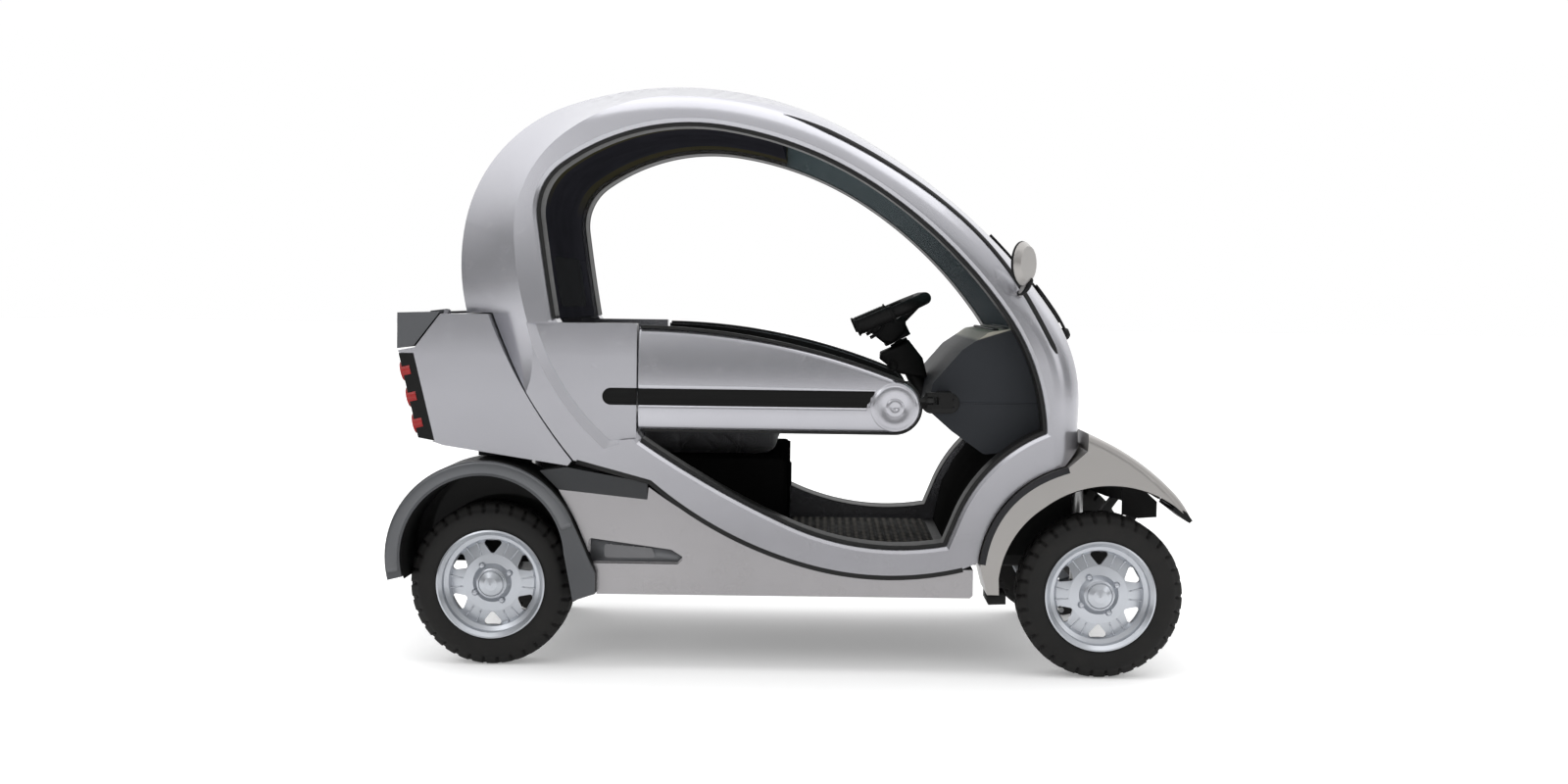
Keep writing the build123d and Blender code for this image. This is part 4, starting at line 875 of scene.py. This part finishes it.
def pad_form(low, high, power=0.28, count=48):
    """Superellipsoid in a box: each coordinate is a signed power of a sine or a cosine."""
    low, high = np.array(low, float), np.array(high, float)
    u, v = np.meshgrid(np.linspace(0, 2 * pi, count * 2, endpoint=False),
                       np.linspace(-pi / 2 + 0.02, pi / 2 - 0.02, count), indexing="ij")

    def eased(wave):
        return np.sign(wave) * np.abs(wave) ** power

    unit = np.stack([eased(np.cos(u)) * eased(np.cos(v)), eased(np.sin(u)) * eased(np.cos(v)),
                     eased(np.sin(v))], -1)
    faces = quads(count * 2, count, wrap_rows=True)
    faces += [[i * count for i in range(count * 2)],
              [i * count + count - 1 for i in range(count * 2)]]
    return (unit * (high - low) / 2 + (high + low) / 2).reshape(-1, 3) * mm, faces


def coordinates(mesh):
    values = np.empty(len(mesh.vertices) * 3)
    mesh.vertices.foreach_get("co", values)
    return values.reshape(-1, 3)


def cushioned(name, form, node, lean, channels, limits):
    """Pad remeshed, swollen by air pressure, and pressed in along its sewn channels by a bell
    curve of the distance from each. It leans by the share of its height."""
    pad = piece(name, form, seat_cover)
    remesh = pad.modifiers.new("even_faces", "REMESH")
    remesh.mode = "VOXEL"
    remesh.voxel_size = 5 * mm
    even = pad.evaluated_get(bpy.context.evaluated_depsgraph_get())
    pad.data = bpy.data.meshes.new_from_object(even)
    pad.modifiers.clear()
    at_rest = coordinates(pad.data)
    swollen = at_rest
    cloth = pad.modifiers.new("air", "CLOTH")
    cloth.settings.use_pressure = True
    cloth.settings.uniform_pressure_force = 4
    cloth.settings.effector_weights.gravity = 0
    for frame_number in range(1, 21):
        scene.frame_set(frame_number)
    swollen = coordinates(pad.evaluated_get(bpy.context.evaluated_depsgraph_get()).data)
    pad.modifiers.clear()
    scene.frame_set(1)
    move = swollen - at_rest
    moved = np.linalg.norm(move, axis=1, keepdims=True)
    place = at_rest + move * np.minimum(1, swell_limit / np.maximum(moved, 1e-9))
    low, high = np.array(limits, float) * mm
    inward = at_rest.mean(0) - place
    inward = inward / np.linalg.norm(inward, axis=1, keepdims=True)
    for axis, at in channels:
        near = np.exp(-((at_rest[:, axis] - at * mm) / channel_half) ** 2)
        place = place + inward * (near * channel_depth)[:, None]
    place = np.clip(place, low, high)
    place[:, 0] += (place[:, 2] - low[2]) * lean
    pad.data.vertices.foreach_set("co", place.ravel())
    pad.data.polygons.foreach_set("use_smooth", [True] * len(pad.data.polygons))
    pad.data.update()
    soft = pad.modifiers.new("soften", "SUBSURF")
    soft.levels = soft.render_levels = 1
    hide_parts(node)


cushioned("seat_cushion_pad", pad_form((-478, -268, 644), (-34, 268, 728)), "seat_cushion", 0.0,
          [(1, -95), (1, 95), (0, -150), (0, -360)], [(-492, -282, 637), (-18, 282, 742)])
cushioned("seat_back_pad", pad_form((-562, -268, 652), (-520, 268, 978), 0.3), "seat_back", -0.16,
          [(1, -95), (1, 95), (2, 780), (2, 900)], [(-584, -282, 637), (-500, 282, 992)])


# Stage, light and camera

ground = Finish("pale_floor")
ground.colour(ground.mix(ground.noise(0.4, 2.0), grey(0.84), grey(0.88))).rough(0.8)
ground.surface.inputs["Emission Color"].default_value = grey(1.0)
ground.surface.inputs["Emission Strength"].default_value = 0.25
far = 60
mesh = bpy.data.meshes.new("floor")
mesh.from_pydata([(-far, -far, 0), (far, -far, 0), (far, far, 0), (-far, far, 0)], [],
                 [(0, 1, 2, 3)])
mesh.materials.append(ground.material)
made = bpy.data.objects.new("floor", mesh)
scene.collection.objects.link(made)

world = bpy.data.worlds.new("studio")
scene.world = world
world.use_nodes = True
sky = world.node_tree
way = sky.nodes.new("ShaderNodeTexCoord")
split = sky.nodes.new("ShaderNodeSeparateXYZ")
sky.links.new(way.outputs["Generated"], split.inputs[0])


def sky_ramp(socket, low, high, from_value, to_value):
    """Smooth rise of the sky's strength between two shares of a direction."""
    made = sky.nodes.new("ShaderNodeMapRange")
    made.interpolation_type = "SMOOTHSTEP"
    sky.links.new(socket, made.inputs["Value"])
    for key, value in (("From Min", low), ("From Max", high), ("To Min", from_value),
                       ("To Max", to_value)):
        made.inputs[key].default_value = value
    return made.outputs[0]


total = sky.nodes.new("ShaderNodeMath")
total.operation = "ADD"
sky.links.new(sky_ramp(split.outputs[1], -0.25, 0.35, 0.20, 1.0), total.inputs[0])
sky.links.new(sky_ramp(split.outputs[2], 0.12, 0.60, 0.0, 0.75), total.inputs[1])
sky.links.new(total.outputs[0], sky.nodes["Background"].inputs["Strength"])
sky.nodes["Background"].inputs["Color"].default_value = (1, 1, 1, 1)


def soft_light(name, place, target, size, power):
    """Area light at a place, turned to a target."""
    lamp = bpy.data.lights.new(name, "AREA")
    lamp.shape = "RECTANGLE"
    lamp.size, lamp.size_y = size
    lamp.energy = power
    made = bpy.data.objects.new(name, lamp)
    made.location = place
    back = np.array(place, float) - np.array(target, float)
    made.rotation_euler = (atan2(float(np.hypot(back[0], back[1])), back[2]), 0,
                           atan2(back[0], -back[1]))
    scene.collection.objects.link(made)


soft_light("overhead", (0, -1.0, 5.5), (0, 0, 0.9), (6, 3), 80)
soft_light("key", (-3.5, -5.0, 4.2), (0, 0, 0.8), (3, 2), 45)
soft_light("fill", (4.5, -4.5, 2.2), (0, 0, 0.8), (2, 2), 18)

photo_width, focal_length = 1600, 1768
camera = bpy.data.cameras.new("camera")
camera.sensor_width = 36
camera.lens = 36 * focal_length / photo_width
viewer = bpy.data.objects.new("camera", camera)
viewer.matrix_world = (Matrix.Translation((0.101, -5.775, 1.136))
                       @ Matrix.Rotation(radians(1.26), 4, "Z")
                       @ Matrix.Rotation(radians(90 - 3.09), 4, "X")
                       @ Matrix.Rotation(radians(0.7), 4, "Z"))
scene.collection.objects.link(viewer)
scene.camera = viewer
scene.view_settings.view_transform = "Standard"
